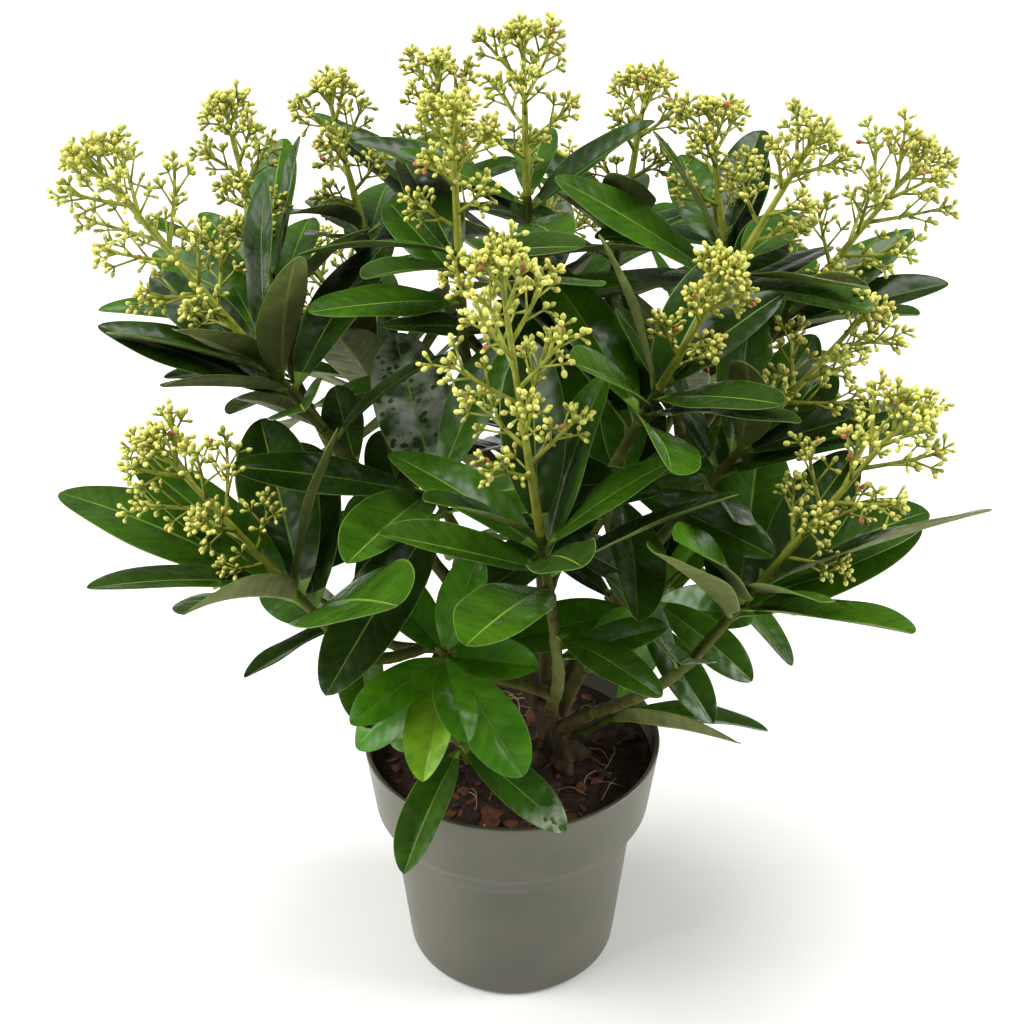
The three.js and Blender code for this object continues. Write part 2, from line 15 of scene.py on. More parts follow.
import bpy
import numpy as np
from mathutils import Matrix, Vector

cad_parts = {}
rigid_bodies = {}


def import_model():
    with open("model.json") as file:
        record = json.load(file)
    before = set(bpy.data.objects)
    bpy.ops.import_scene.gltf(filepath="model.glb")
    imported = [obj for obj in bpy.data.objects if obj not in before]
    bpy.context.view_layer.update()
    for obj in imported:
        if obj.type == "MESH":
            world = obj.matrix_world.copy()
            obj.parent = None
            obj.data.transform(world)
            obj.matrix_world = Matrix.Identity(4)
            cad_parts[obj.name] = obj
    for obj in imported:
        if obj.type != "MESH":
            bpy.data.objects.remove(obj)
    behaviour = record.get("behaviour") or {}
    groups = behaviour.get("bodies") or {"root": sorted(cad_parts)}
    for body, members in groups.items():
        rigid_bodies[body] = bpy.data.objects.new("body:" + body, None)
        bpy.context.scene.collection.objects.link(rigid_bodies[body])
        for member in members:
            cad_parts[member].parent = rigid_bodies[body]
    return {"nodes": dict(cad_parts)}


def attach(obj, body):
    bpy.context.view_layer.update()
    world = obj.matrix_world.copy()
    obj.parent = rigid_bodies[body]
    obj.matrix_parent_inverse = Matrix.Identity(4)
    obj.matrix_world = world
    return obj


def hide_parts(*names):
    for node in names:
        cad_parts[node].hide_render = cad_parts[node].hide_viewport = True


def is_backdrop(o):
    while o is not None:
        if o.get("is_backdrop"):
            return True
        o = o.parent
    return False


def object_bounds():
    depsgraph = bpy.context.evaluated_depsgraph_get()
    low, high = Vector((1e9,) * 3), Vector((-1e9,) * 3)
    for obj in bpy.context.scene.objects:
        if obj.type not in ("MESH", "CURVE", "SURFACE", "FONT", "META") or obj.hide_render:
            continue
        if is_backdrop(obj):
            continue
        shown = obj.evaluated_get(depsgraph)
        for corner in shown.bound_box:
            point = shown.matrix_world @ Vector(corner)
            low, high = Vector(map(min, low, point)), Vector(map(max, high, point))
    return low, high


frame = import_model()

Array = np.ndarray
CAD_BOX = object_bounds()
MM = 0.001
SEED = 7
GOLDEN_TURN = 137.5  # degrees from one leaf or spray to the next
UP = np.array([0.0, 0.0, 1.0])
LOG = logging.getLogger("skimmia")


class Seed(IntEnum):
    """Where each sort of unevenness starts its own numbers, so that a change in one leaves the rest."""

    LITTER = SEED
    LUMPS = SEED + 1
    CRUMBS = SEED + 2
    TRUNK_BARK = SEED + 3
    LIMB_GRAIN = SEED + 5
    BOUGH_BARK = SEED + 10
    LEAF_TONES = SEED + 40
    STEM_SKIN = SEED + 60
    SPRAYS = SEED + 80
    OLDER_LEAVES = SEED + 90


# ---- Small tools ----
def linear(colour: str) -> tuple[float, float, float, float]:
    """Turns an sRGB hex colour to linear light.

    Args:
        colour: six hex digits after a #.

    Returns:
        Red, green, blue and an alpha of 1.
    """
    channels = [int(colour[i : i + 2], 16) / 255 for i in (1, 3, 5)]
    red, green, blue = (c / 12.92 if c <= 0.04045 else ((c + 0.055) / 1.055) ** 2.4 for c in channels)
    return red, green, blue, 1.0


def draws(seed: int) -> Iterator[float]:
    """Draws the seeded numbers that the solids were grown with (mulberry32).

    Args:
        seed: where they start.

    Yields:
        Numbers from 0 to 1.
    """
    mask = 0xFFFFFFFF
    state = seed & mask
    while True:
        state = (state + 0x6D2B79F5) & mask
        t = ((state ^ (state >> 15)) * (state | 1)) & mask
        t ^= (t + (((t ^ (t >> 7)) * (t | 61)) & mask)) & mask
        yield (t ^ (t >> 14)) / 2**32


def mix(a: float, b: float, share: float | Array) -> float | Array:
    """Returns the value a share of the way from a to b."""
    return a + (b - a) * share


def unit(vectors: Array) -> Array:
    """Returns the vectors with length 1."""
    return vectors / np.linalg.norm(vectors, axis=-1, keepdims=True)


def smooth_step(low: float, high: float, values: Array) -> Array:
    """Returns 0 below low, 1 above high, and a smooth rise between."""
    share = np.clip((values - low) / (high - low), 0, 1)
    return share * share * (3 - 2 * share)


def across_of(direction: Array) -> tuple[Array, Array]:
    """Returns two unit vectors square to each direction and to each other: for +Z, +X and +Y."""
    first = unit(np.cross(np.array([0.0, 1.0, 0.0]), direction))
    return first, np.cross(direction, first)


def turned_from(axis: Array, angle: Array, turn: Array) -> tuple[Array, Array]:
    """Leans a direction off an axis.

    Args:
        axis: unit vectors.
        angle: radians off the axis.
        turn: radians round it.

    Returns:
        The leaning direction, and the one square to it that faces back along the axis.
    """
    first, second = across_of(axis)
    angle, turn = np.asarray(angle)[..., None], np.asarray(turn)[..., None]
    outward = first * np.cos(turn) + second * np.sin(turn)
    return axis * np.cos(angle) + outward * np.sin(angle), axis * np.sin(angle) - outward * np.cos(angle)


def even_turns(count: int) -> Array:
    """Returns angles evenly round a circle, in radians."""
    return 2 * np.pi * np.arange(count) / count


def round_axis(radius: float | Array, angle: Array, height: float | Array) -> Array:
    """Returns points round +Z: the radius times the cosine and the sine of the angle, and the height."""
    return np.stack(np.broadcast_arrays(radius * np.cos(angle), radius * np.sin(angle), height), axis=-1)


class Noise:
    """Smooth repeatable noise from -1 to 1: seeded numbers on a lattice, blended between its cells."""

    LAYER_SHIFT = 31.7  # millimetres from one layer's lattice to the next, so that no two line up

    def __init__(self, seed: int, cells: int = 32) -> None:
        """Fills the lattice."""
        self.cells = cells
        self.lattice = np.random.default_rng(seed).uniform(-1, 1, (cells,) * 3)

    def at(self, points: Array, size: float) -> Array:
        """Blends the eight lattice numbers round each point by a smooth step on each axis.

        Args:
            points: places in millimetres, three in the last axis.
            size: width of a lattice cell in millimetres.

        Returns:
            One number for each point.
        """
        scaled = points / size
        low = np.floor(scaled).astype(int)
        part = smooth_step(0, 1, scaled - low)
        total = np.zeros(points.shape[:-1])
        for corner in np.ndindex(2, 2, 2):
            weight = np.prod(np.where(corner, part, 1 - part), axis=-1)
            i, j, k = np.moveaxis((low + np.array(corner)) % self.cells, -1, 0)
            total += weight * self.lattice[i, j, k]
        return total

    def layered(self, points: Array, size: float, layers: int = 3) -> Array:
        """Adds layers of noise, each half as wide and half as strong as the last."""
        return sum(self.at(points + self.LAYER_SHIFT * n, size / 2**n) / 2**n for n in range(layers))


# ---- Skins and pieces ----
SURFACE_MAP = "surface_mm"


@dataclass(frozen=True)
class Skin:
    """The faces of a closed skin over a row of rings, with a fan to a point at each end.

    Its points are the rings' in order, and then the first and the last end's point.
    """

    rings: int
    around: int

    @property
    def points(self) -> int:
        """How many points the skin has."""
        return self.rings * self.around + 2

    def corners(self) -> tuple[Array, Array]:
        """Lists the faces: the quads ring by ring, and then the first and the last fan.

        Returns:
            Each face's corners in one flat array, and the number of corners of each face.
        """
        here = np.arange(self.around)
        after = (here + 1) % self.around
        start = np.arange(self.rings - 1)[:, None] * self.around
        above = start + self.around
        quads = np.stack([start + here, start + after, above + after, above + here], axis=-1)
        first, last = self.points - 2, self.points - 1
        end = (self.rings - 1) * self.around
        low = np.stack([np.full(self.around, first), after, here], axis=-1)
        high = np.stack([np.full(self.around, last), end + here, end + after], axis=-1)
        flat = np.concatenate([quads.ravel(), low.ravel(), high.ravel()])
        return flat, np.repeat([4, 3], [quads.size // 4, 2 * self.around])


def sweep(centres: Array, radii: Array, around: int) -> Array:
    """Carries a ring along each of a batch of lines.

    Each ring is square to its line: the centre plus the radius times the cosine and sine of an
    angle, along two directions made from a fixed axis that the whole line keeps away from.

    Args:
        centres: (lines, rings, 3) places along the lines.
        radii: (lines, rings) or (lines, rings, around) radii.
        around: points in a ring.

    Returns:
        (lines, rings * around + 2, 3) points for a Skin.
    """
    lines, rings, _ = centres.shape
    ways = unit(np.gradient(centres, axis=1))
    axes = np.eye(3)
    clearest = np.abs(ways @ axes).max(axis=1).argmin(axis=-1)
    first = unit(np.cross(axes[clearest][:, None, :], ways))
    second = np.cross(ways, first)
    angle = even_turns(around)
    radii = radii if radii.ndim == 3 else radii[..., None]
    cos, sin = np.cos(angle)[:, None], np.sin(angle)[:, None]
    spokes = first[:, :, None] * cos + second[:, :, None] * sin
    rims = centres[:, :, None] + spokes * np.broadcast_to(radii, (lines, rings, around))[..., None]
    return np.concatenate([rims.reshape(lines, -1, 3), centres[:, :1], centres[:, -1:]], axis=1)


def lathe(profile: Array, columns: int) -> Array:
    """Turns a profile round the Z axis: each point's radius times the cosine and sine of an angle.

    Args:
        profile: (rings, 2) radii and heights, from one point near the axis to another.
        columns: points in a ring.

    Returns:
        (rings, columns, 3) points.
    """
    return round_axis(profile[:, :1], even_turns(columns), profile[:, 1:])


def closed(rings: Array) -> Array:
    """Adds to a grid of rings the two end points of its Skin: the middles of its end rings."""
    ends = [rings[0].mean(axis=0, keepdims=True), rings[-1].mean(axis=0, keepdims=True)]
    return np.concatenate([rings.reshape(-1, 3), *ends])[None]


def arc(centre: tuple[float, float], radius: float, start: float, end: float, steps: int) -> Array:
    """Returns points of an arc in a profile: its centre plus the radius, from one angle to another."""
    angle = np.radians(np.linspace(start, end, steps))
    return np.array(centre) + radius * np.stack([np.cos(angle), np.sin(angle)], axis=-1)


class Piece:
    """A mesh in the making: batches of equal skins, joined into one object."""

    def __init__(self, name: str) -> None:
        """Starts an empty piece."""
        self.name = name
        self.batches: list[tuple[Array, Array, Array, Array, Array]] = []

    def add(self, points: Array, skin: Skin, finish: int | Array = 0, uv: Array | None = None) -> None:
        """Adds a batch of skins.

        Args:
            points: (skins, points, 3) places in millimetres.
            skin: the faces that they all have.
            finish: the number of a finish, for the batch, for each face, or for each skin and face.
            uv: (skins, points, 2) places on the surface in millimetres, if a pattern follows it.
        """
        corners, sizes = skin.corners()
        count, each, _ = points.shape
        shift = each * np.arange(count)[:, None]
        faces = np.broadcast_to(finish, (count, len(sizes)))
        flat = np.zeros((count, each, 2)) if uv is None else uv
        places, corners = points.reshape(-1, 3), (corners + shift).ravel()
        self.batches.append((places, corners, np.tile(sizes, count), faces.ravel(), flat.reshape(-1, 2)))

    def make(
        self, finishes: Sequence["Finish"], replaced: Sequence[str] = (), smooth: bool = True
    ) -> bpy.types.Object:
        """Makes the object, in metres, lets it ride on the root, hides the solids that it stands for and
        logs how many.

        Args:
            finishes: the finishes that the batches number.
            replaced: the solids that this piece is shown in place of.
            smooth: whether its faces are shaded as one smooth surface.

        Returns:
            The finished object.
        """
        points, corners, sizes, faces, uv = (list(column) for column in zip(*self.batches))
        offsets = np.cumsum([0] + [len(p) for p in points[:-1]])
        corners = np.concatenate([c + offset for c, offset in zip(corners, offsets)])
        points, sizes, faces, uv = (np.concatenate(column) for column in (points, sizes, faces, uv))
        starts = np.concatenate([[0], np.cumsum(sizes)[:-1]])
        mesh = bpy.data.meshes.new(self.name)
        mesh.vertices.add(len(points))
        mesh.vertices.foreach_set("co", (points * MM).astype(np.float32).ravel())
        mesh.loops.add(len(corners))
        mesh.loops.foreach_set("vertex_index", corners.astype(np.int32))
        mesh.polygons.add(len(sizes))
        mesh.polygons.foreach_set("loop_start", starts.astype(np.int32))
        mesh.polygons.foreach_set("material_index", faces.astype(np.int32))
        mesh.polygons.foreach_set("use_smooth", np.full(len(sizes), smooth))
        layer = mesh.uv_layers.new(name=SURFACE_MAP)
        layer.data.foreach_set("uv", uv[corners].astype(np.float32).ravel())
        for finish in finishes:
            mesh.materials.append(finish.material())
        mesh.update(calc_edges=True)
        made = bpy.data.objects.new(self.name, mesh)
        bpy.context.scene.collection.objects.link(made)
        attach(made, "root")
        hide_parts(*replaced)
        LOG.info("%s: %d triangles, in place of %d solids", self.name, int((sizes - 2).sum()), len(replaced))
        return made


def node_points(node: str) -> Array:
    """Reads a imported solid.

    Args:
        node: its name.

    Returns:
        Its vertices, in millimetres.
    """
    mesh = frame["nodes"][node].data
    points = np.empty(len(mesh.vertices) * 3, np.float32)
    mesh.vertices.foreach_get("co", points)
    return points.reshape(-1, 3) / MM


def nearest(points: Array, place: Array) -> float:
    """Returns the distance from a place to the nearest of some points."""
    return np.linalg.norm(points - place, axis=-1).min()


# ---- Finishes ----
Node = bpy.types.Node
Socket = bpy.types.NodeSocket
MIX_SHARE, MIX_A, MIX_B, MIX_COLOUR = 0, 6, 7, 2  # a colour mix node's sockets
# Nearly all of a noise's values lie within the wide band, and most of them within the narrow one.
WIDE_BAND = (0.3, 0.7)
NARROW_BAND = (0.35, 0.65)


class Paint:
    """A material in the making: nodes that lead to one surface."""

    def __init__(self, name: str, looks: dict[str, object]) -> None:
        """Starts the material with its surface, shown as it is until a pattern is linked to it.

        Args:
            name: the material's name.
            looks: the inputs of its surface.
        """
        self.material = bpy.data.materials.new(name)
        self.material.use_nodes = True
        self.tree = self.material.node_tree
        self.tree.nodes.clear()
        self.surface = self.add("ShaderNodeBsdfPrincipled", looks)
        self.place = self.add("ShaderNodeTexCoord").outputs["Object"]
        self.add("ShaderNodeOutputMaterial", {"Surface": self.surface})

    def add(self, kind: str, inputs: dict | Sequence[object] = (), **settings: object) -> Node:
        """Adds a node, with its settings and links.

        Args:
            kind: the node's type.
            inputs: values for its inputs, or the sockets or nodes that are linked to them, by name
                or number, or in order from the first. A node stands for its first output.
            settings: the node's own properties.

        Returns:
            The node.
        """
        node = self.tree.nodes.new(kind)
        for name, value in settings.items():
            setattr(node, name, value)
        for key, value in inputs.items() if isinstance(inputs, dict) else enumerate(inputs):
            value = value.outputs[0] if isinstance(value, Node) else value
            if isinstance(value, Socket):
                self.tree.links.new(value, node.inputs[key])
            else:
                node.inputs[key].default_value = value
        return node

    def show(self, name: str, value: Socket) -> None:
        """Links a value to an input of the surface."""
        self.tree.links.new(value, self.surface.inputs[name])


def per_metre(size_mm: float) -> float:
    """Returns the scale that gives a noise on metres blotches of a real size."""
    return 1 / (size_mm * MM)


@dataclass(frozen=True)
class Finish:
    """A plain surface: its name, colours and gloss. A subclass adds the pattern that it shows."""

    name: str
    colour: str
    second: str
    roughness: float
    ior: float = 1.5
    specular: float = 0.5
    glow: float = 0.0
    patch_mm: float = 6.0  # size of its blotches

    def material(self) -> bpy.types.Material:
        """Makes the material, unless another piece has made it.

        Returns:
            The material of that name.
        """
        if self.name in bpy.data.materials:
            return bpy.data.materials[self.name]
        looks = {
            "Base Color": linear(self.colour),
            "Roughness": self.roughness,
            "IOR": self.ior,
            "Specular IOR Level": self.specular,
            "Emission Color": linear(self.colour),
            "Emission Strength": self.glow,
        }
        paint = Paint(self.name, looks)
        self.pattern(paint)
        return paint.material

    def pattern(self, paint: Paint) -> None:
        """Blends the two colours in soft blotches."""
        paint.show("Base Color", self.two_toned(paint, paint.place)[1])

    def two_toned(self, paint: Paint, place: Socket | Node, detail: float = 3) -> tuple[Node, Socket]:
        """Blends the two colours in blotches of the finish's own size.

        The share of the second colour is a noise's value, stretched from the narrow band to 0 and 1.

        Args:
            paint: the material in the making.
            place: where a point lies, in metres.
            detail: how many finer layers the noise has.

        Returns:
            The noise and the blended colour.
        """
        inputs = {"Vector": place, "Scale": per_metre(self.patch_mm), "Detail": detail}
        noise = paint.add("ShaderNodeTexNoise", inputs)
        share = paint.add("ShaderNodeMapRange", [noise, *NARROW_BAND])
        inputs = {MIX_SHARE: share, MIX_A: linear(self.colour), MIX_B: linear(self.second)}
        return noise, paint.add("ShaderNodeMix", inputs, data_type="RGBA").outputs[MIX_COLOUR]

    def vary_gloss(self, paint: Paint, noise: Node, shares: tuple[float, float]) -> None:
        """Varies the roughness with a noise, between two shares of the finish's own."""
        ends = [share * self.roughness for share in shares]
        paint.show("Roughness", paint.add("ShaderNodeMapRange", [noise, *WIDE_BAND, *ends]).outputs[0])

    @staticmethod
    def relief(paint: Paint, height: Node, depth_mm: float) -> None:
        """Raises the surface by a height of a real depth."""
        inputs = {"Height": height, "Distance": depth_mm * MM}
        paint.show("Normal", paint.add("ShaderNodeBump", inputs).outputs[0])


@dataclass(frozen=True)
class LeafSkin(Finish):
    """A leathery blade under a waxy cuticle: even green, with faint side veins that slant forward."""

    gloss_mm: float = 3
    gloss_shares: tuple[float, float] = (0.8, 1.3)
    vein_mm: float = 6.5
    vein_slant: float = 0.9  # millimetres that a vein runs forward for each that it runs out
    vein_edge: float = -0.4  # height of the veins' wave, from -1 to 1, at which a vein ends
    vein_depth_mm: float = 0.03
    vein_shade: float = 0.16
    swell_mm: float = 9  # the blade between its veins isn't flat either
    swell_depth_mm: float = 0.9

    def pattern(self, paint: Paint) -> None:
        """Blotches the green, and sinks side veins into the swelling blade.

        The veins are the troughs of a cosine wave of the distance along the midrib less the slant
        times the distance from it, both in the blade's own millimetres.

        Args:
            paint: the material in the making.
        """
        where = paint.add("ShaderNodeUVMap", uv_map=SURFACE_MAP)
        green = self.marked(paint, self.two_toned(paint, paint.place)[1], where)
        inputs = {"Vector": paint.place, "Scale": per_metre(self.gloss_mm), "Detail": 3}
        self.vary_gloss(paint, paint.add("ShaderNodeTexNoise", inputs), self.gloss_shares)
        along, across, _ = paint.add("ShaderNodeSeparateXYZ", [where]).outputs
        side = paint.add("ShaderNodeMath", [across], operation="ABSOLUTE")
        slant = paint.add("ShaderNodeMath", [side, -self.vein_slant, along], operation="MULTIPLY_ADD")
        turns = paint.add("ShaderNodeMath", [slant, 2 * math.pi / self.vein_mm], operation="MULTIPLY")
        wave = paint.add("ShaderNodeMath", [turns], operation="COSINE")
        dark = paint.add("ShaderNodeMapRange", [wave, -1, self.vein_edge, self.vein_shade, 0])
        inputs = {MIX_SHARE: dark, MIX_A: green, MIX_B: linear(self.second)}
        veined = paint.add("ShaderNodeMix", inputs, data_type="RGBA", blend_type="MULTIPLY")
        paint.show("Base Color", veined.outputs[MIX_COLOUR])
        inputs = {"Vector": paint.place, "Scale": per_metre(self.swell_mm), "Detail": 1}
        swell = paint.add("ShaderNodeTexNoise", inputs)
        steepness = self.swell_depth_mm / self.vein_depth_mm
        height = paint.add("ShaderNodeMath", [swell, steepness, wave], operation="MULTIPLY_ADD")
        self.relief(paint, height, self.vein_depth_mm)

    def marked(self, paint: Paint, green: Socket, where: Node) -> Socket:
        """Returns the colour of the blade with what lies on it, which is nothing on a clean leaf."""
        return green


@dataclass(frozen=True)
class FilmedLeaf(LeafSkin):
    """A blade on which hard water has dried: a pale broken film, dark where its drops stood."""

    film: str = "#a3ab98"
    film_band: tuple[float, float] = (0.4, 0.58)  # the noise at which the film starts and is whole
    strength: float = 0.8
    start_mm: float = -20  # distance from the leaf's foot at which the film begins
    start_fade_mm: float = 14
    drop_mm: float = 3.6
    drop_reach: float = 0.34  # radius of a drop's mark, as a share of their spacing
    drop_edge: tuple[float, float] = (-0.04, 0.06)  # how far inside and outside that it fades
    drop_share: float = 0.6  # of the places for a drop that have one
    fray_mm: float = 1.2
    fray: float = 0.12  # how far a mark's edge strays, as a share of their spacing

    def marked(self, paint: Paint, green: Socket, where: Node) -> Socket:
        """Lays the film over patches of the green past its start, but not where a drop stood.

        Args:
            paint: the material in the making.
            green: the blade's colour.
            where: the place on the blade, in millimetres.

        Returns:
            The colour of the filmed blade.
        """
        inputs = {"Vector": where, "Scale": 1 / self.drop_mm}
        distance, cell = paint.add("ShaderNodeTexVoronoi", inputs).outputs[:2]
        speckle = self.speckle(paint, where, self.fray_mm)
        fray = paint.add("ShaderNodeMapRange", [speckle, *WIDE_BAND, -self.fray, self.fray])
        edge = paint.add("ShaderNodeMath", [distance, fray], operation="ADD")
        reach = [self.drop_reach + more for more in self.drop_edge]
        off = paint.add("ShaderNodeMapRange", [edge, *reach])
        luck = paint.add("ShaderNodeSeparateColor", [cell])
        none = paint.add("ShaderNodeMath", [luck, self.drop_share], operation="GREATER_THAN")
        clear = paint.add("ShaderNodeMath", [off, none], operation="MAXIMUM")
        speckle = self.speckle(paint, where, self.patch_mm)
        patch = paint.add("ShaderNodeMapRange", [speckle, *self.film_band, 0, self.strength])
        along = paint.add("ShaderNodeSeparateXYZ", [where])
        begun = paint.add("ShaderNodeMapRange", [along, self.start_mm, self.start_mm + self.start_fade_mm])
        share = paint.add("ShaderNodeMath", [clear, patch], operation="MULTIPLY")
        share = paint.add("ShaderNodeMath", [share, begun], operation="MULTIPLY")
        inputs = {MIX_SHARE: share, MIX_A: green, MIX_B: linear(self.film)}
        return paint.add("ShaderNodeMix", inputs, data_type="RGBA").outputs[MIX_COLOUR]

    @staticmethod
    def speckle(paint: Paint, where: Node, size_mm: float) -> Node:
        """Returns noise with speckles of a real size on the blade's own millimetres."""
        return paint.add("ShaderNodeTexNoise", {"Vector": where, "Scale": 1 / size_mm, "Detail": 5})


@dataclass(frozen=True)
class Bark(Finish):
    """Thin bark in upright flakes: the pattern is stretched along the stem, with a rough relief."""

    stretch: float = 0.25
    depth_mm: float = 0.5

    def pattern(self, paint: Paint) -> None:
        """Streaks the two colours upwards and raises them.

        Args:
            paint: the material in the making.
        """
        tall = paint.add("ShaderNodeMapping", {"Vector": paint.place, "Scale": (1, 1, self.stretch)})
        streak, colour = self.two_toned(paint, tall, 5)
        paint.show("Base Color", colour)
        self.relief(paint, streak, self.depth_mm)


@dataclass(frozen=True)
class Moulded(Finish):
    """Recycled polypropylene from a mould: a fine matt grain, with dusty scuffs that dull it."""

    gloss_shares: tuple[float, float] = (0.85, 1.2)
    grain_mm: float = 0.7
    grain_depth_mm: float = 0.02

    def pattern(self, paint: Paint) -> None:
        """Clouds the colour with dust, varies the gloss with it, and raises the grain.

        Args:
            paint: the material in the making.
        """
        dust, colour = self.two_toned(paint, paint.place, 6)
        paint.show("Base Color", colour)
        self.vary_gloss(paint, dust, self.gloss_shares)
        inputs = {"Vector": paint.place, "Scale": per_metre(self.grain_mm), "Detail": 2}
        self.relief(paint, paint.add("ShaderNodeTexNoise", inputs), self.grain_depth_mm)


@dataclass(frozen=True)
class GlowingPaper(Finish):
    """Matt white paper that glows, brighter further out: a painted glow that whitens the floor away from the
    plant.
    """

    dark_m: float = 0.16
    bright_m: float = 1.3
    glow_far: float = 1.1

    def pattern(self, paint: Paint) -> None:
        """Raises the painted glow with the distance from the middle.

        Args:
            paint: the material in the making.
        """
        far = paint.add("ShaderNodeVectorMath", [paint.place], operation="LENGTH").outputs["Value"]
        inputs = [far, self.dark_m, self.bright_m, self.glow, self.glow_far]
        paint.show("Emission Strength", paint.add("ShaderNodeMapRange", inputs).outputs[0])


@dataclass(frozen=True)
class Crumbly(Finish):
    """Moist peat or bark dust: dark, rough and open."""

    depth_mm: float = 0.8

    def pattern(self, paint: Paint) -> None:
        """Mixes light and dark crumbs and raises them.

        Args:
            paint: the material in the making.
        """
        crumb, colour = self.two_toned(paint, paint.place, 8)
        paint.show("Base Color", colour)
        self.relief(paint, crumb, self.depth_mm)


class Green(Enum):
    """The greens of the leaves' upper side, dealt out by shoot and leaf."""

    DEEP = 0
    MID = 1
    FRESH = 2
    YOUNG = 3
    LIME = 4
    FILMED = 5
    SPOTTED = 6


# The upper side is smooth and waxy, so it is dark, with bright soft reflections of the lights.
LEAF_GREENS = {
    Green.DEEP: LeafSkin("leaf_deep_waxy", "#233c09", "#172b04", 0.27, specular=0.2, patch_mm=14),
    Green.MID: LeafSkin("leaf_mid_waxy", "#32550b", "#244205", 0.27, specular=0.2, patch_mm=14),
    Green.FRESH: LeafSkin("leaf_fresh_waxy", "#406f0b", "#315c07", 0.27, specular=0.22, patch_mm=14),
    Green.YOUNG: LeafSkin("leaf_young_waxy", "#47800b", "#336907", 0.26, specular=0.25, patch_mm=12),
    Green.LIME: LeafSkin("leaf_lime_waxy", "#7aa31e", "#588a10", 0.26, specular=0.25, patch_mm=12),
    Green.FILMED: FilmedLeaf(
        "leaf_filmed_waxy", "#243f0b", "#1a3207", 0.33, specular=0.26, patch_mm=12, strength=0.6, start_mm=8
    ),
    Green.SPOTTED: FilmedLeaf(
        "leaf_spotted_waxy", "#315a0a", "#254808", 0.32, specular=0.24, patch_mm=9, strength=0.8, start_mm=38
    ),
}
# The underside has no wax, so it looks olive and dull.
LEAF_UNDERSIDE = LeafSkin("leaf_underside_dull", "#69703c", "#575f30", 0.6, specular=0.2, patch_mm=10)
LEAF_KEEL = Finish("leaf_keel_dull", "#7e824c", "#70753f", 0.6, specular=0.2, patch_mm=8)
# The midrib and the stalk are paler than the blade, which draws a thin line along each leaf.
LEAF_RIB = Finish("leaf_rib_pale", "#66842f", "#577323", 0.4, specular=0.25, patch_mm=8)
LEAF_MARGIN = Finish("leaf_margin_thin", "#5a762a", "#4d6a21", 0.45, specular=0.25, patch_mm=8)
# Closed petals: waxy and pale, so each bud is a bright bead. The cup under it is greener.
BUD_PETAL = Finish("bud_petals_waxy", "#d2d16b", "#b5b54e", 0.42, patch_mm=2)
BUD_GREEN = Finish("bud_petals_unripe", "#b4b34e", "#8e8f38", 0.42, patch_mm=2)
BUD_GOLD = Finish("bud_petals_golden", "#cdc162", "#bdae4e", 0.42, patch_mm=2)
BUD_RED = Finish("bud_petals_rusty", "#a8553a", "#8c472e", 0.5, patch_mm=2)
BUD_CUP = Finish("bud_cup_green", "#94a03f", "#7f8c35", 0.5, patch_mm=2)
STALK = Finish("flower_stalk_green", "#949a34", "#777e29", 0.5, specular=0.3, patch_mm=4)
STEM_GREEN = Finish("stem_green", "#4d5719", "#3e4213", 0.6, specular=0.15, patch_mm=5)
STEM_BARK = Bark("stem_olive_bark", "#4b4a1d", "#393316", 0.7, specular=0.12, patch_mm=3)
TRUNK_BARK = Bark("trunk_brown_bark", "#554732", "#362c1f", 0.85, specular=0.25, patch_mm=2.5)
POT_PLASTIC = Moulded("pot_polypropylene", "#494839", "#525041", 0.36, specular=0.6, patch_mm=26)
PEAT = Crumbly("peat_moist", "#1d110b", "#3a2216", 0.92, patch_mm=2.2)
CHIP_RUST = Crumbly("pine_bark_rust", "#6d3c20", "#4a2815", 0.8, patch_mm=3, depth_mm=0.3)
CHIP_DARK = Crumbly("pine_bark_dark", "#3a2417", "#281810", 0.85, patch_mm=3, depth_mm=0.3)
FIBRE = Finish("coir_fibre", "#b49a70", "#8f7852", 0.7, patch_mm=3)


# ---- The rule that the plant grows by ----
@dataclass(frozen=True)
class LeafRule:
    """How leaves stand and how long they are, in millimetres, degrees and shares of the length."""

    width: float = 0.345
    young_width: float = 0.44
    petiole: float = 1.5
    stalk_half: float = 0.8  # half the leaf stalk's width, as a share of the petiole's
    stalk_fade: tuple[float, float] = (0.1, 0.4)  # where the stalk starts and ends to melt into the blade
    blade_start: float = 0.06
    skew: float = 1.12
    fullness: float = 0.64
    bend: tuple[float, float] = (4, 24)
    light: float = 0.55
    rise: tuple[float, float] = (0.44, 0.1)
    open: float = 32
    open_heights: tuple[float, float] = (300, 320)
    length_spread: float = 0.14
    top_length: float = 0.78
    jitter: float = 20
    roll: float = 40
    # Turn and spread were changed by these in order until a leaf was clear of its neighbours.
    tries: tuple[tuple[float, float], ...] = (
        (0, 0), (22, -8), (-22, -8), (0, -22), (45, 0), (-45, 0), (38, -20), (-38, -20), (66, 0), (0, 16),
    )


@dataclass(frozen=True)
class StemRule:
    """The stem through a whorl and up its flower head."""

    radius: float = 2.0
    leaf_pitch: float = 2.4
    foot: float = 10


@dataclass(frozen=True)
class BoughRule:
    """A limb: its radius at the tip, its growth towards the fork and its curve's straight ends."""

    tip_radius: float = 2.1
    steepness: float = 0.35
    growth: float = 0.0065
    pull: float = 0.33


@dataclass(frozen=True)
class HeadRule:
    """A flower head: its sprays, how they lean and how far they reach."""

    pitch: float = 5.6
    bare: float = 0.16
    angle: tuple[float, float] = (60, 34)
    widest: tuple[float, float] = (0.32, 0.96)
    swell: float = 0.8
    variety: tuple[float, float] = (0.88, 1.08)
    shortest: float = 11
    longest: float = 0.4
    club: float = 0.74


LEAF, STEM, BOUGH, HEAD = LeafRule(), StemRule(), BoughRule(), HeadRule()
SHOOT_SEED, SPRAY_SEED = 1000, 500
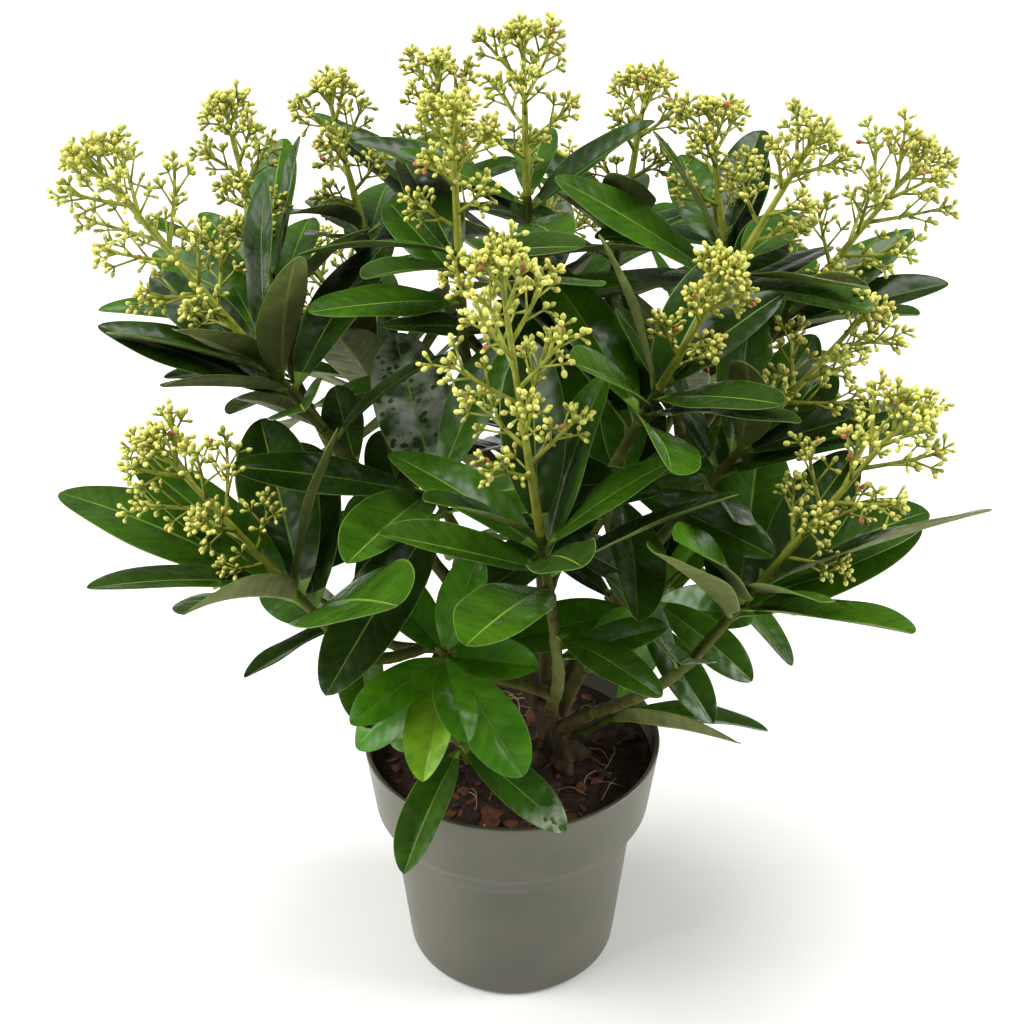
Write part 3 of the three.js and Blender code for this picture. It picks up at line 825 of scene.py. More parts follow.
# How near a leaf's tip and a spray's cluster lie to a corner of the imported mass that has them.
TIP_MATCH, CLUSTER_MATCH = 0.05, 6


@dataclass(frozen=True)
class Shoot:
    """One shoot, in millimetres and degrees: the limb it forks from and how far along, where its
    whorl sits and its head or end bud reaches, the turn of its first leaf, and its flower radius."""

    parent: str
    at: float
    head: tuple[float, float, float]
    tip: tuple[float, float, float]
    turn: float
    flower: float = 0
    leaves: int = 10
    leaf: float = 80
    spread: tuple[float, float] = (34, 84)
    young: bool = False


def leafy(parent: str, at: float, head: tuple, tip: tuple, turn: float, **other: object) -> Shoot:
    """Returns a shoot with no flower head, with fewer, shorter and wider-set leaves unless told."""
    return Shoot(parent, at, head, tip, turn, **{"leaves": 8, "leaf": 73, "spread": (58, 98), **other})


SHOOTS = {
    "front": Shoot("trunk", 0.8, (10, -80, 261), (-5, -76, 368), 92, 27),
    "right": Shoot("trunk", 0.6, (89, -20, 265), (135, -16, 324), 80, 24),
    "left": Shoot("trunk", 0.7, (-95, -5, 294), (-157, 0, 377), 140, 27),
    "top": Shoot("trunk", 1, (6, 42, 342), (4, 50, 409), 80, 24, leaves=12),
    "rear_right": Shoot("trunk", 0.9, (86, 55, 320), (78, 64, 376), 60, 22),
    "back": Shoot("trunk", 0.62, (14, 112, 272), (18, 138, 332), 80, 24),
    "right_low": Shoot("trunk", 0.5, (92, -64, 230), (143, -66, 308), 336, 26, leaf=102),
    "right_inner": Shoot("right", 0.6, (54, -37, 298), (78, -44, 351), 30, 16),
    "right_high": Shoot("rear_right", 0.3, (112, 32, 298), (162, 38, 366), 260, 26),
    "right_upper": Shoot("rear_right", 0.56, (87, 14, 327), (115, 18, 380), 20, 24),
    "rear_inner": Shoot("rear_right", 0.66, (47, 78, 323), (56, 88, 381), 170, 23),
    "left_low": Shoot("left", 0.3, (-83, -65, 230), (-131, -62, 293), 220, 24, leaves=8, leaf=106),
    "left_rear": Shoot("left", 0.64, (-98, 44, 305), (-113, 54, 381), 80, 19),
    "left_side": Shoot("left_rear", 0.4, (-98, 76, 256), (-126, 96, 312), 160, 20, leaf=64),
    "upper": Shoot("top", 0.6, (-20, 4, 335), (-22, 8, 393), 180, 24),
    "rear": Shoot("top", 0.7, (-30, 84, 327), (-31, 94, 386), 45, 22),
    "rear_left": Shoot("top", 0.42, (-62, 72, 319), (-76, 82, 379), 210, 20),
    "back_left": Shoot("back", 0.5, (-66, 110, 236), (-96, 136, 290), 160, 24),
    "back_right": Shoot("back", 0.36, (84, 104, 240), (114, 130, 296), 10, 24),
    "front_low": leafy("front", 0.4, (-26, -66, 200), (-28, -80, 213), 285, leaves=9, leaf=50, young=True),
    "skirt": leafy(
        "trunk", 0.4, (-23, -42, 141), (-26, -48, 152), 180, leaves=4, leaf=60, spread=(118, 82)
    ),
    "skirt_right": leafy("trunk", 0.4, (46, -6, 127), (55, -7, 134), 0, leaves=3, leaf=76, spread=(46, 30)),
    "right_leafy": leafy("right", 0.3, (58, -30, 204), (66, -38, 220), 60, leaf=62),
    "left_leafy": leafy(
        "left", 0.24, (-66, -26, 190), (-78, -34, 206), 218, leaves=5, leaf=58, spread=(58, 84)
    ),
    "side_low": leafy("rear_right", 0.16, (90, 40, 184), (106, 46, 200), 0),
    "back_low": leafy("back", 0.2, (4, 84, 178), (4, 102, 192), 75),
    "middle_left": leafy("left", 0.46, (-30, -34, 254), (-36, -42, 272), 258, leaf=93),
    "middle_right": leafy("rear_right", 0.4, (44, -26, 250), (52, -34, 268), 340, leaf=90),
}


@dataclass(frozen=True)
class Pot:
    """The nursery pot's sizes in millimetres: a band under the lip, a shoulder and a round heel."""

    height: float = 112
    rim_radius: float = 65
    collar_height: float = 32
    collar_radius: float = 61
    shoulder_height: float = 11
    shoulder_radius: float = 54.2
    heel_radius: float = 47.5
    heel_round: float = 4
    wall: float = 1.4
    floor: float = 2.4
    floor_edge: float = 2.8  # width of the slope from the wall's foot down to the floor
    lip_round: float = 0.8
    lip_depth: float = 2  # how far down the inner wall starts
    drains: int = 6
    drain_width: float = 5
    drain_height: float = 2
    drain_depth: float = 7

    @property
    def collar_foot(self) -> float:
        """Height of the band's lower edge."""
        return self.height - self.collar_height

    @property
    def shoulder_foot(self) -> float:
        """Height of the shoulder's lower edge."""
        return self.collar_foot - self.shoulder_height

    @property
    def lip_inside(self) -> float:
        """The inner wall's radius under its lip."""
        return self.rim_radius - self.wall - self.lip_round

    def inner_wall(self, gap: float = 0) -> list[tuple[float, float]]:
        """Works out the corners inside the wall, from the band's foot down to the floor's edge.

        Args:
            gap: how far within the wall and above the floor they are.

        Returns:
            Their radii and heights.
        """
        corners = [
            (self.collar_radius, 0, self.collar_foot + self.wall / 2),
            (self.shoulder_radius, 0, self.shoulder_foot + self.wall / 2),
            (self.heel_radius, 0, self.heel_round + self.wall),
            (self.heel_radius, self.floor_edge, self.floor + gap),
        ]
        return [(radius - self.wall - gap - inset, height) for radius, inset, height in corners]


@dataclass(frozen=True)
class Soil:
    """The peat in the pot: its height in the middle and how far it sinks to the wall."""

    top: float = 104
    sink: float = 2.5


@dataclass(frozen=True)
class Trunk:
    """The woody foot: its place on the soil, lean, height and root lobes."""

    place: tuple[float, float] = (20, -4)
    lean: tuple[float, float] = (-4, 1)
    height: float = 28
    shares: tuple[float, ...] = (0, 0.14, 0.38, 0.75, 1)
    radii: tuple[float, ...] = (12.5, 9.4, 7.6, 7.4, 6.2)
    lobes: tuple[float, ...] = (0.28, 0.2, 0.08, 0.03, 0)
    roots: int = 5
    fork_drop: float = 5
    gap: float = 0.3

    def middle(self, share: Array) -> Array:
        """Works out its middle line, which leans evenly.

        Args:
            share: shares of its height.

        Returns:
            The points there.
        """
        share = np.asarray(share, float)
        x, y = (mix(place, place + lean, share) for place, lean in zip(self.place, self.lean))
        return np.stack([x, y, SOIL.top + self.gap + self.height * share], axis=-1)


POT, SOIL, TRUNK = Pot(), Soil(), Trunk()


class Line:
    """Where a shoot runs: its axis at the whorl, where its bough ends, and the bough's curve."""

    SAMPLES = 201

    def __init__(self, name: str, index: int, shoot: Shoot, parent: "Line | None") -> None:
        """Works out the shoot's line.

        The bough sets out between the limb's own direction and the way to the whorl, and arrives
        along the whorl's axis. Its length is summed over short steps.

        Args:
            name: the shoot's name.
            index: its place among the shoots, which seeds its leaves.
            shoot: its numbers.
            parent: the limb that it forks from, or None for the trunk.
        """
        self.name, self.index, self.shoot = name, index, shoot
        self.head, self.tip = np.array(shoot.head, float), np.array(shoot.tip, float)
        self.height = float(np.linalg.norm(self.tip - self.head))
        self.axis = (self.tip - self.head) / self.height
        self.end = self.on_axis(-STEM.foot - STEM.leaf_pitch * shoot.leaves)
        if parent:
            start, onward = (value[0] for value in parent.along(np.array([shoot.at])))
        else:
            start = TRUNK.middle(shoot.at) - TRUNK.fork_drop * UP
            onward = unit(self.end - start) + BOUGH.steepness * UP
        away = unit(onward + unit(self.end - start))
        pull = BOUGH.pull * np.linalg.norm(self.end - start)
        self.controls = np.stack([start, start + away * pull, self.end - self.axis * pull, self.end])
        t = np.linspace(0, 1, self.SAMPLES)
        steps = np.linalg.norm(np.diff(self.bezier(t), axis=0), axis=-1)
        self.lengths = np.concatenate([[0], np.cumsum(steps)])

    @property
    def foot(self) -> float:
        """Where the bough ends on the whorl's axis, as a distance from its head: below 0."""
        return -np.linalg.norm(self.end - self.head)

    def radius(self, shares: Array) -> Array:
        """Returns the bough's radius, which grows evenly towards its fork."""
        return BOUGH.tip_radius + BOUGH.growth * self.lengths[-1] * (1 - shares)

    def on_axis(self, distance: float | Array) -> Array:
        """Returns points on the whorl's axis, at distances from its head."""
        return self.head + np.asarray(distance)[..., None] * self.axis

    def bezier(self, t: Array) -> Array:
        """Follows the bough's cubic curve: its four control points, weighted by powers of t and 1 - t.

        Args:
            t: places along it, from 0 to 1.

        Returns:
            Its points there.
        """
        t = t[:, None]
        a, b, c, d = self.controls
        return a * (1 - t) ** 3 + 3 * b * t * (1 - t) ** 2 + 3 * c * t * t * (1 - t) + d * t**3

    def along(self, shares: Array) -> tuple[Array, Array]:
        """Follows the bough evenly by its length.

        Args:
            shares: shares of its length, from its fork.

        Returns:
            Its points and directions there.
        """
        t = np.interp(shares * self.lengths[-1], self.lengths, np.linspace(0, 1, self.SAMPLES))[:, None]
        a, b, c, d = self.controls
        way = (b - a) * (1 - t) ** 2 + 2 * (c - b) * t * (1 - t) + (d - c) * t * t
        return self.bezier(t[:, 0]), unit(way)


@dataclass(frozen=True)
class Leaf:
    """One leaf: where it starts, how it faces and its measures in millimetres and radians."""

    line: Line
    number: int
    base: Array
    along: Array
    face: Array
    length: float
    width: float
    bend: float

    def midrib(self, share: float | Array) -> Array:
        """Returns points of its midrib, an arc that bends back from its face, at shares of it."""
        angle = self.bend * np.asarray(share)[..., None]
        arch = np.sin(angle) * self.along - (1 - np.cos(angle)) * self.face
        return self.base + self.length / self.bend * arch


def leaf_of(line: Line, number: int, more_turn: float, more_spread: float) -> Leaf:
    """Returns a leaf of a whorl.

    Args:
        line: the shoot's line.
        number: the leaf's, counted down from the whorl's top.
        more_turn: degrees added to its turn.
        more_spread: degrees added to its spread.

    Returns:
        The leaf as the seeded rule draws it.
    """
    shoot, chance = line.shoot, draws(SEED + SHOOT_SEED * line.index + number)
    down = number / (shoot.leaves - 1)
    turn = shoot.turn + GOLDEN_TURN * number + LEAF.jitter * (next(chance) - 0.5) + more_turn
    opened = smooth_step(*LEAF.open_heights, line.head[2])
    spread = mix(shoot.spread[0] + LEAF.open * opened, shoot.spread[1], down)
    spread += LEAF.jitter * (next(chance) - 0.5) + more_spread
    size = mix(LEAF.top_length, 1, down) * (1 + 2 * LEAF.length_spread * (next(chance) - 0.5))
    bend = math.radians(mix(*LEAF.bend, next(chance)))
    along, face = turned_from(line.axis, math.radians(spread), math.radians(turn))
    if shoot.flower:
        along = unit(np.array([*along[:2], max(along[2], mix(*LEAF.rise, opened))]))
    face = face + LEAF.light * UP
    face = unit(face - (face @ along) * along)
    roll = math.radians(LEAF.roll * (next(chance) - 0.5))
    face = math.cos(roll) * face + math.sin(roll) * np.cross(along, face)
    width = LEAF.young_width if shoot.young else LEAF.width
    base = line.on_axis(-STEM.leaf_pitch * number)
    return Leaf(line, number, base, along, face, shoot.leaf * size, width, bend)


def grown_leaves(line: Line) -> list[Leaf]:
    """Grows a shoot's leaves, each with the change that its solid was given.

    That is the first one that puts the leaf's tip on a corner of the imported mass. A leaf that the
    solid left out is left out.

    Args:
        line: the shoot's line.

    Returns:
        Its leaves.
    """
    corners = node_points(f"mass_{line.name}")
    kept = []
    for number in range(line.shoot.leaves):
        choices = (leaf_of(line, number, *change) for change in LEAF.tries)
        fit = (leaf for leaf in choices if nearest(corners, leaf.midrib(1)) < TIP_MATCH)
        kept.append(next(fit, None))
    return [leaf for leaf in kept if leaf]


def half_width(share: Array, length: Array, width: Array) -> Array:
    """Returns half a leaf's width: a power of a parabola along the blade, blended into its stalk.

    Args:
        share: shares of the leaf's length.
        length: its length.
        width: its greatest width as a share of that.

    Returns:
        Half its width there.
    """
    along = np.clip((share - LEAF.blade_start) / (1 - LEAF.blade_start), 0, 1) ** LEAF.skew
    blade = width * length * (4 * along * (1 - along)) ** LEAF.fullness / 2
    stalk = LEAF.stalk_half * LEAF.petiole * (1 - smooth_step(*LEAF.stalk_fade, share))
    return (blade**3 + stalk**3) ** (1 / 3)


def grown_lines() -> dict[str, Line]:
    """Works out every shoot's line, a limb before those that fork from it.

    Returns:
        The lines by name.
    """
    lines: dict[str, Line] = {}
    for index, (name, shoot) in enumerate(SHOOTS.items()):
        lines[name] = Line(name, index, shoot, lines.get(shoot.parent))
    return lines


# ---- Pot and soil ----
HUB = 2  # radius of the ring round the middle of a turned floor


@dataclass(frozen=True)
class NurseryPot:
    """The pot: a thin lathe-turned wall with rounded edges, and notches in its heel that drain it."""

    columns: int = 216
    base_points: int = 12
    round_points: int = 7
    stretch_points: tuple[int, ...] = (10, 6, 8)  # up the body, the shoulder and the band
    floor_middle: float = 20  # radius of a ring halfway over the floor

    def outside(self) -> Array:
        """Works out the outer profile: a flat base, a round heel, three straight stretches and a lip.

        The points of a stretch are closer together towards its ends.

        Returns:
            The profile's points, from the underside's middle up to the lip.
        """
        heel = (POT.heel_radius - POT.heel_round, POT.heel_round)
        lip = (POT.rim_radius - POT.lip_round, POT.height - POT.lip_round)
        base = np.linspace((HUB, 0), (heel[0], 0), self.base_points)
        parts = [base, arc(heel, POT.heel_round, -90, 0, self.round_points)[1:]]
        stops = [
            (POT.heel_radius, POT.heel_round),
            (POT.shoulder_radius, POT.shoulder_foot),
            (POT.collar_radius, POT.collar_foot),
            (POT.rim_radius, lip[1]),
        ]
        for low, high, count in zip(stops, stops[1:], self.stretch_points):
            share = smooth_step(0, 1, np.linspace(0, 1, count))[1:, None]
            parts.append(mix(np.array(low), np.array(high), share))
        parts[-1] = parts[-1][:-1]  # the lip's own arc starts where the band ends
        return np.concatenate([*parts, arc(lip, POT.lip_round, 0, 90, self.round_points)])

    def inside(self) -> Array:
        """Works out the inner profile.

        Returns:
            The profile's points, from the lip down to the floor's middle.
        """
        lip = (POT.lip_inside + POT.lip_round, POT.height - POT.lip_round)
        edge = arc(lip, POT.lip_round, 90, 180, self.round_points)
        floor = [(radius, POT.floor) for radius in (self.floor_middle, HUB)]
        top = (POT.lip_inside, POT.height - POT.lip_depth)
        return np.concatenate([edge, [top, *POT.inner_wall(), *floor]])

    def build(self) -> None:
        """Turns the profile, and lifts what lies in a notch to the notch's roof."""
        profile = np.concatenate([self.outside(), self.inside()])
        rings = lathe(profile, self.columns)
        turns = np.arctan2(rings[..., 1], rings[..., 0]) * POT.drains / (2 * np.pi)
        off = np.abs(turns - 0.5 - np.round(turns - 0.5)) * 2 * np.pi * POT.heel_radius / POT.drains
        radius = np.hypot(rings[..., 0], rings[..., 1])
        within = (off < POT.drain_width / 2) & (radius > POT.heel_radius - POT.drain_depth)
        low = within & (rings[..., 2] < POT.drain_height)
        rings[..., 2] = np.where(low, POT.drain_height, rings[..., 2])
        piece = Piece("nursery_pot")
        piece.add(closed(rings), Skin(len(profile), self.columns))
        piece.make([POT_PLASTIC], ["pot"])


class Bit(IntEnum):
    """What a bit of litter on the peat is, as the number of its finish."""

    RUSTY_BARK = 0
    DARK_BARK = 1
    PEAT = 2


@dataclass(frozen=True)
class Litter:
    """One sort of litter on the peat, in millimetres: its number, its cut and what it is made of."""

    count: int
    around: int
    size: tuple[float, float]
    flatness: float
    kinds: tuple[Bit, ...]


@dataclass(frozen=True)
class PottingSoil:
    """Peat with bark chips, crumbs and coir fibres on it."""

    columns: int = 150
    surface_rings: int = 46
    centre: float = 0.6  # radius of the surface's innermost ring
    gap: float = 0.3
    settled: float = 1  # how far the surface's mean lies below the solid's
    lump: float = 1.5
    lump_width: float = 14
    crumb: float = 0.7
    crumb_width: float = 2.6
    level_from: float = 0.9  # share of the radius past which lumps and crumbs fade out
    litter: tuple[Litter, ...] = (
        Litter(170, 7, (1.6, 5.2), 0.28, (Bit.RUSTY_BARK, Bit.RUSTY_BARK, Bit.DARK_BARK)),
        Litter(700, 6, (0.5, 1.3), 0.7, (Bit.DARK_BARK, Bit.PEAT, Bit.PEAT)),
    )
    levels: tuple[float, ...] = (-0.6, 0, 0.6)  # heights of a bit's rings
    swells: tuple[float, ...] = (0.75, 1, 0.7)  # and their widths
    slimness: tuple[float, float] = (0.35, 0.8)  # a bit's short side as a share of its long one
    raggedness: float = 0.45
    tilt: float = 0.5  # radians, the most that a bit is tipped
    lie: float = 0.25  # height of a bit's middle over the soil, as a share of its reach
    wall_gap: float = 2
    fibres: int = 46
    fibre_rings: int = 14
    fibre_around: int = 5
    fibre_length: tuple[float, float] = (7, 24)
    fibre_radius: tuple[float, float] = (0.12, 0.26)
    fibre_bend: float = 2  # radians, the most that a fibre turns to either side
    fibre_lift: tuple[float, float] = (0.3, 3)
    fibre_height: float = 0.5
    fibre_wall_gaps: tuple[float, float] = (12, 1.5)  # of a fibre's start, and of the rest of it

    @property
    def radius(self) -> float:
        """The soil's radius at its surface, where the wall leans out from the band's foot."""
        share = (SOIL.top - SOIL.sink - POT.collar_foot) / (POT.collar_height - POT.lip_depth)
        return mix(POT.collar_radius - POT.wall, POT.lip_inside, share) - self.gap

    def height(self, places: Array) -> Array:
        """Works out the surface's height: a low dome with lumps and crumbs on it.

        The dome falls with the square of the distance from its middle. Lumps and crumbs are layered
        noise of two widths, and fade out at the wall.

        Args:
            places: places on the soil, in millimetres.

        Returns:
            The height at each.
        """
        reach = np.hypot(places[..., 0], places[..., 1]) / self.radius
        flat = np.stack([places[..., 0], places[..., 1], np.zeros_like(reach)], axis=-1)
        uneven = self.lump * Noise(Seed.LUMPS).layered(flat, self.lump_width)
        uneven = uneven + self.crumb * Noise(Seed.CRUMBS).layered(flat, self.crumb_width)
        fade = 1 - smooth_step(self.level_from, 1, reach)
        return SOIL.top - self.settled - SOIL.sink * reach**2 + uneven * fade

    def build(self) -> None:
        """Builds the bed and then what lies on it."""
        self.build_bed()
        chance = np.random.default_rng(Seed.LITTER)
        self.build_litter(chance)
        self.build_fibres(chance)

    def build_bed(self) -> None:
        """Turns a profile of the surface, the wall and the floor, and gives the surface its height."""
        radii = np.linspace(self.centre, self.radius, self.surface_rings)
        surface = np.stack([radii, np.full_like(radii, SOIL.top)], axis=-1)
        wall = [*POT.inner_wall(self.gap), (HUB, POT.floor + self.gap)]
        rings = lathe(np.concatenate([surface, wall])[::-1], self.columns)
        top = rings[-self.surface_rings :]
        top[..., 2] = self.height(top)
        piece = Piece("peat_bed")
        piece.add(closed(rings), Skin(len(rings), self.columns))
        piece.make([PEAT], ["soil"])

    def scattered(self, chance: np.random.Generator, count: int, edge: float) -> Array:
        """Scatters places evenly over the surface: the square root of a share is the distance out.

        Args:
            chance: the seeded numbers.
            count: how many places.
            edge: how far they keep from the wall, in millimetres.

        Returns:
            (count, 3) places on the surface.
        """
        reach = (self.radius - edge) * np.sqrt(chance.random(count))
        turn = 2 * np.pi * chance.random(count)
        places = round_axis(reach, turn, 0)
        places[:, 2] = self.height(places)
        return places

    def build_litter(self, chance: np.random.Generator) -> None:
        """Scatters flat bark chips and then small crumbs."""
        piece = Piece("bark_chips")
        for litter in self.litter:
            piece.add(*self.bits(litter, chance))
        piece.make([CHIP_RUST, CHIP_DARK, PEAT], smooth=False)

    def bits(self, litter: Litter, chance: np.random.Generator) -> tuple[Array, Skin, Array]:
        """Cuts one sort of litter: each bit is a few rings of ragged radius, squashed and tipped.

        A ring's radius is the bit's reach times a number drawn for each of its points, and one of
        its sides is shortened.

        Args:
            litter: the sort.
            chance: the seeded numbers.

        Returns:
            The points, the skin and the finishes of a batch.
        """
        count, around = litter.count, litter.around
        places = self.scattered(chance, count, litter.size[1] + self.wall_gap)
        length = mix(*litter.size, chance.random((count, 1)) ** 2)
        turn = even_turns(around)
        levels, swells = np.array(self.levels)[:, None], np.array(self.swells)[:, None]
        ragged = 1 + self.raggedness * (chance.random((count, 1, around)) - 0.5)
        radius = length[:, :, None] * swells * ragged
        across = radius * np.sin(turn) * mix(*self.slimness, chance.random((count, 1, 1)))
        height = np.broadcast_to(levels, radius.shape) * length[:, :, None] * litter.flatness
        flat = np.stack([radius * np.cos(turn), across, height], axis=-1)
        spin, tip = 2 * np.pi * chance.random(count), self.tilt * chance.random(count)
        axis, _ = turned_from(np.broadcast_to(UP, (count, 3)), tip, spin)
        first, second = across_of(axis)
        cos, sin = np.cos(2 * spin)[:, None], np.sin(2 * spin)[:, None]
        basis = np.stack([first * cos + second * sin, second * cos - first * sin, axis], axis=1)
        rings = np.einsum("crai,cij->craj", flat, basis) + places[:, None, None, :]
        rings[..., 2] += self.lie * length[:, :, None]
        ends = [rings[:, row].mean(axis=1)[:, None] for row in (0, -1)]
        skin = Skin(len(levels), around)
        kinds = np.broadcast_to(chance.choice(litter.kinds, (count, 1)), (count, len(skin.corners()[1])))
        return np.concatenate([rings.reshape(count, -1, 3), *ends], axis=1), skin, kinds

    def build_fibres(self, chance: np.random.Generator) -> None:
        """Lays thin fibres on the soil.

        A fibre's heading turns evenly along it, so it lies in an arc. Its middle is lifted by half a
        sine wave, and what would pass the wall is drawn in to it.

        Args:
            chance: the seeded numbers.
        """
        count, rings = self.fibres, self.fibre_rings
        start = self.scattered(chance, count, self.fibre_wall_gaps[0])
        share = np.linspace(0, 1, rings)
        first = 2 * np.pi * chance.random((count, 1))
        heading = first + self.fibre_bend * (2 * chance.random((count, 1)) - 1) * share
        step = mix(*self.fibre_length, chance.random((count, 1))) / rings
        x = start[:, :1] + np.cumsum(step * np.cos(heading), axis=1)
        y = start[:, 1:2] + np.cumsum(step * np.sin(heading), axis=1)
        pull = np.minimum(1, (self.radius - self.fibre_wall_gaps[1]) / np.hypot(x, y))
        centres = np.stack([x * pull, y * pull, np.zeros_like(x)], axis=-1)
        lift = mix(*self.fibre_lift, chance.random((count, 1))) * np.sin(np.pi * share)
        centres[..., 2] = self.height(centres) + self.fibre_height + lift
        radii = np.broadcast_to(mix(*self.fibre_radius, chance.random((count, 1))), (count, rings))
        piece = Piece("coir_fibres")
        piece.add(sweep(centres, radii, self.fibre_around), Skin(rings, self.fibre_around))
        piece.make([FIBRE])


# ---- Trunk and boughs ----
class LimbBark(IntEnum):
    """The barks of the woody limbs, as the numbers of their finishes."""

    BROWN = 0
    OLIVE = 1
    GREEN = 2


@dataclass(frozen=True)
class WoodyLimbs:
    """The woody foot and the boughs: bark with upright ridges, and leaf scars further up."""

    lines: dict[str, Line]
    trunk_rings: int = 44
    trunk_around: int = 60
    root_depth: float = 2.5
    ridge: float = 0.5
    ridge_width: float = 2.4
    ridge_squash: float = 0.3  # heights are squashed before the noise is read, so ridges stand upright
    # The rings that round off the foot's top: their reach as a share of the last one's, and their lift.
    cap: tuple[tuple[float, float], ...] = ((0.8, 1.2), (0.5, 2), (0.2, 2.5))
    around: int = 16
    ring_step: float = 1.8
    flare: float = 0.5
    flare_length: float = 7
    scar_pitch: float = 7
    scar_height: float = 0.55
    scar_length: float = 0.9
    # Bark noise is read off a tube of this radius, squashed along it.
    bark_tube: float = 3
    bark_squash: float = 0.25
    bark_height: float = 0.22
    bark_width: float = 1.6
    grain_width: float = 9
    brown_below: float = 132
    brown_fray: float = 16  # how far the grain shifts that height
    green_from: float = 0.55  # share of a bough, from its fork, past which its bark is still green
    green_fray: float = 0.25

    def build(self) -> None:
        """Builds the foot and every bough into one piece."""
        piece = Piece("woody_limbs")
        piece.add(self.trunk(), Skin(self.trunk_rings + len(self.cap), self.trunk_around), LimbBark.BROWN)
        for line in self.lines.values():
            points, rings = self.bough(line)
            piece.add(points, Skin(rings, self.around), self.bark_of(points, rings))
        names = ["trunk", *(f"bough_{name}" for name in self.lines)]
        piece.make([TRUNK_BARK, STEM_BARK, STEM_GREEN], names)

    def bark_of(self, points: Array, rings: int) -> Array:
        """Deals out the barks of a bough: brown near the soil, then olive, and green at its end.

        Args:
            points: (1, points, 3) its points.
            rings: its number of rings.

        Returns:
            The finish of each of its faces.
        """
        points = points[0, : rings * self.around]
        grain = Noise(Seed.LIMB_GRAIN).layered(points, self.grain_width, 4).reshape(rings, self.around)
        heights = points[:, 2].reshape(rings, self.around)
        brown = heights + self.brown_fray * grain < self.brown_below
        share = np.linspace(0, 1, rings)[:, None]
        green = share + self.green_fray * grain > self.green_from
        barks = np.where(green, LimbBark.GREEN, np.where(brown, LimbBark.BROWN, LimbBark.OLIVE))
        return np.concatenate([barks[:-1].ravel(), np.full(2 * self.around, LimbBark.GREEN)])

    def trunk(self) -> Array:
        """Works out the foot.

        Its rings swell into root lobes towards the soil, as a cosine of the turn times the number of
        roots, and layered noise raises the bark.

        Returns:
            (1, points, 3) points for a Skin.
        """
        share = np.linspace(0, 1, self.trunk_rings)
        radius = np.interp(share, TRUNK.shares, TRUNK.radii)[:, None]
        lobes = np.interp(share, TRUNK.shares, TRUNK.lobes)[:, None]
        angle = even_turns(self.trunk_around)
        reach = radius * (1 + lobes * np.cos(TRUNK.roots * angle))
        outward = round_axis(1, angle, 0)
        rings = TRUNK.middle(share)[:, None] + reach[..., None] * outward
        bark = Noise(Seed.TRUNK_BARK).layered(rings * [1, 1, self.ridge_squash], self.ridge_width)
        rings = rings + (self.ridge * bark)[..., None] * outward
        rings[0, :, 2] = SOIL.top - self.root_depth
        cap = [mix(rings[-1].mean(axis=0), rings[-1], reach) + lift * UP for reach, lift in self.cap]
        return closed(np.concatenate([rings, np.stack(cap)]))

    def bough(self, line: Line) -> tuple[Array, int]:
        """Works out a bough.

        The radius grows towards the fork and flares at it. Leaf scars stand out of it, one every few
        millimetres at the golden turn, and bark noise stretched along it roughens it.

        Args:
            line: the shoot's line.

        Returns:
            (1, points, 3) points for a Skin, and the number of rings.
        """
        length = line.lengths[-1]
        rings = max(8, int(length / self.ring_step))
        share = np.linspace(0, 1, rings)
        centres, _ = line.along(share)
        far = (share * length)[:, None]
        angle = even_turns(self.around)
        radius = line.radius(share)[:, None] * (1 + self.flare * np.exp(-far / self.flare_length))
        count = np.round(far / self.scar_pitch)
        off = far - count * self.scar_pitch
        side = np.maximum(0, np.cos(angle - np.radians(GOLDEN_TURN) * count)) ** 2
        scar = self.scar_height * np.exp(-((off / self.scar_length) ** 2)) * side
        tube = round_axis(self.bark_tube, angle, self.bark_squash * far)
        rough = self.bark_height * Noise(Seed.BOUGH_BARK + line.index).layered(tube, self.bark_width)
        return sweep(centres[None], (radius + scar + rough)[None], self.around), rings


# ---- Leaves ----
class Region(Enum):
    """The groups that the foliage is joined in, by the height of the whorl."""

    LOW = "leaves_low"
    MIDDLE = "leaves_middle"
    HIGH = "leaves_high"
    YOUNG = "leaves_young"


# Leaves that stand out, by shoot and number: two with dried hard water on them, and the newest.
MARKED_LEAVES = {
    ("middle_left", 4): Green.FILMED,
    ("skirt", 1): Green.SPOTTED,
    ("front_low", 5): Green.LIME,
}


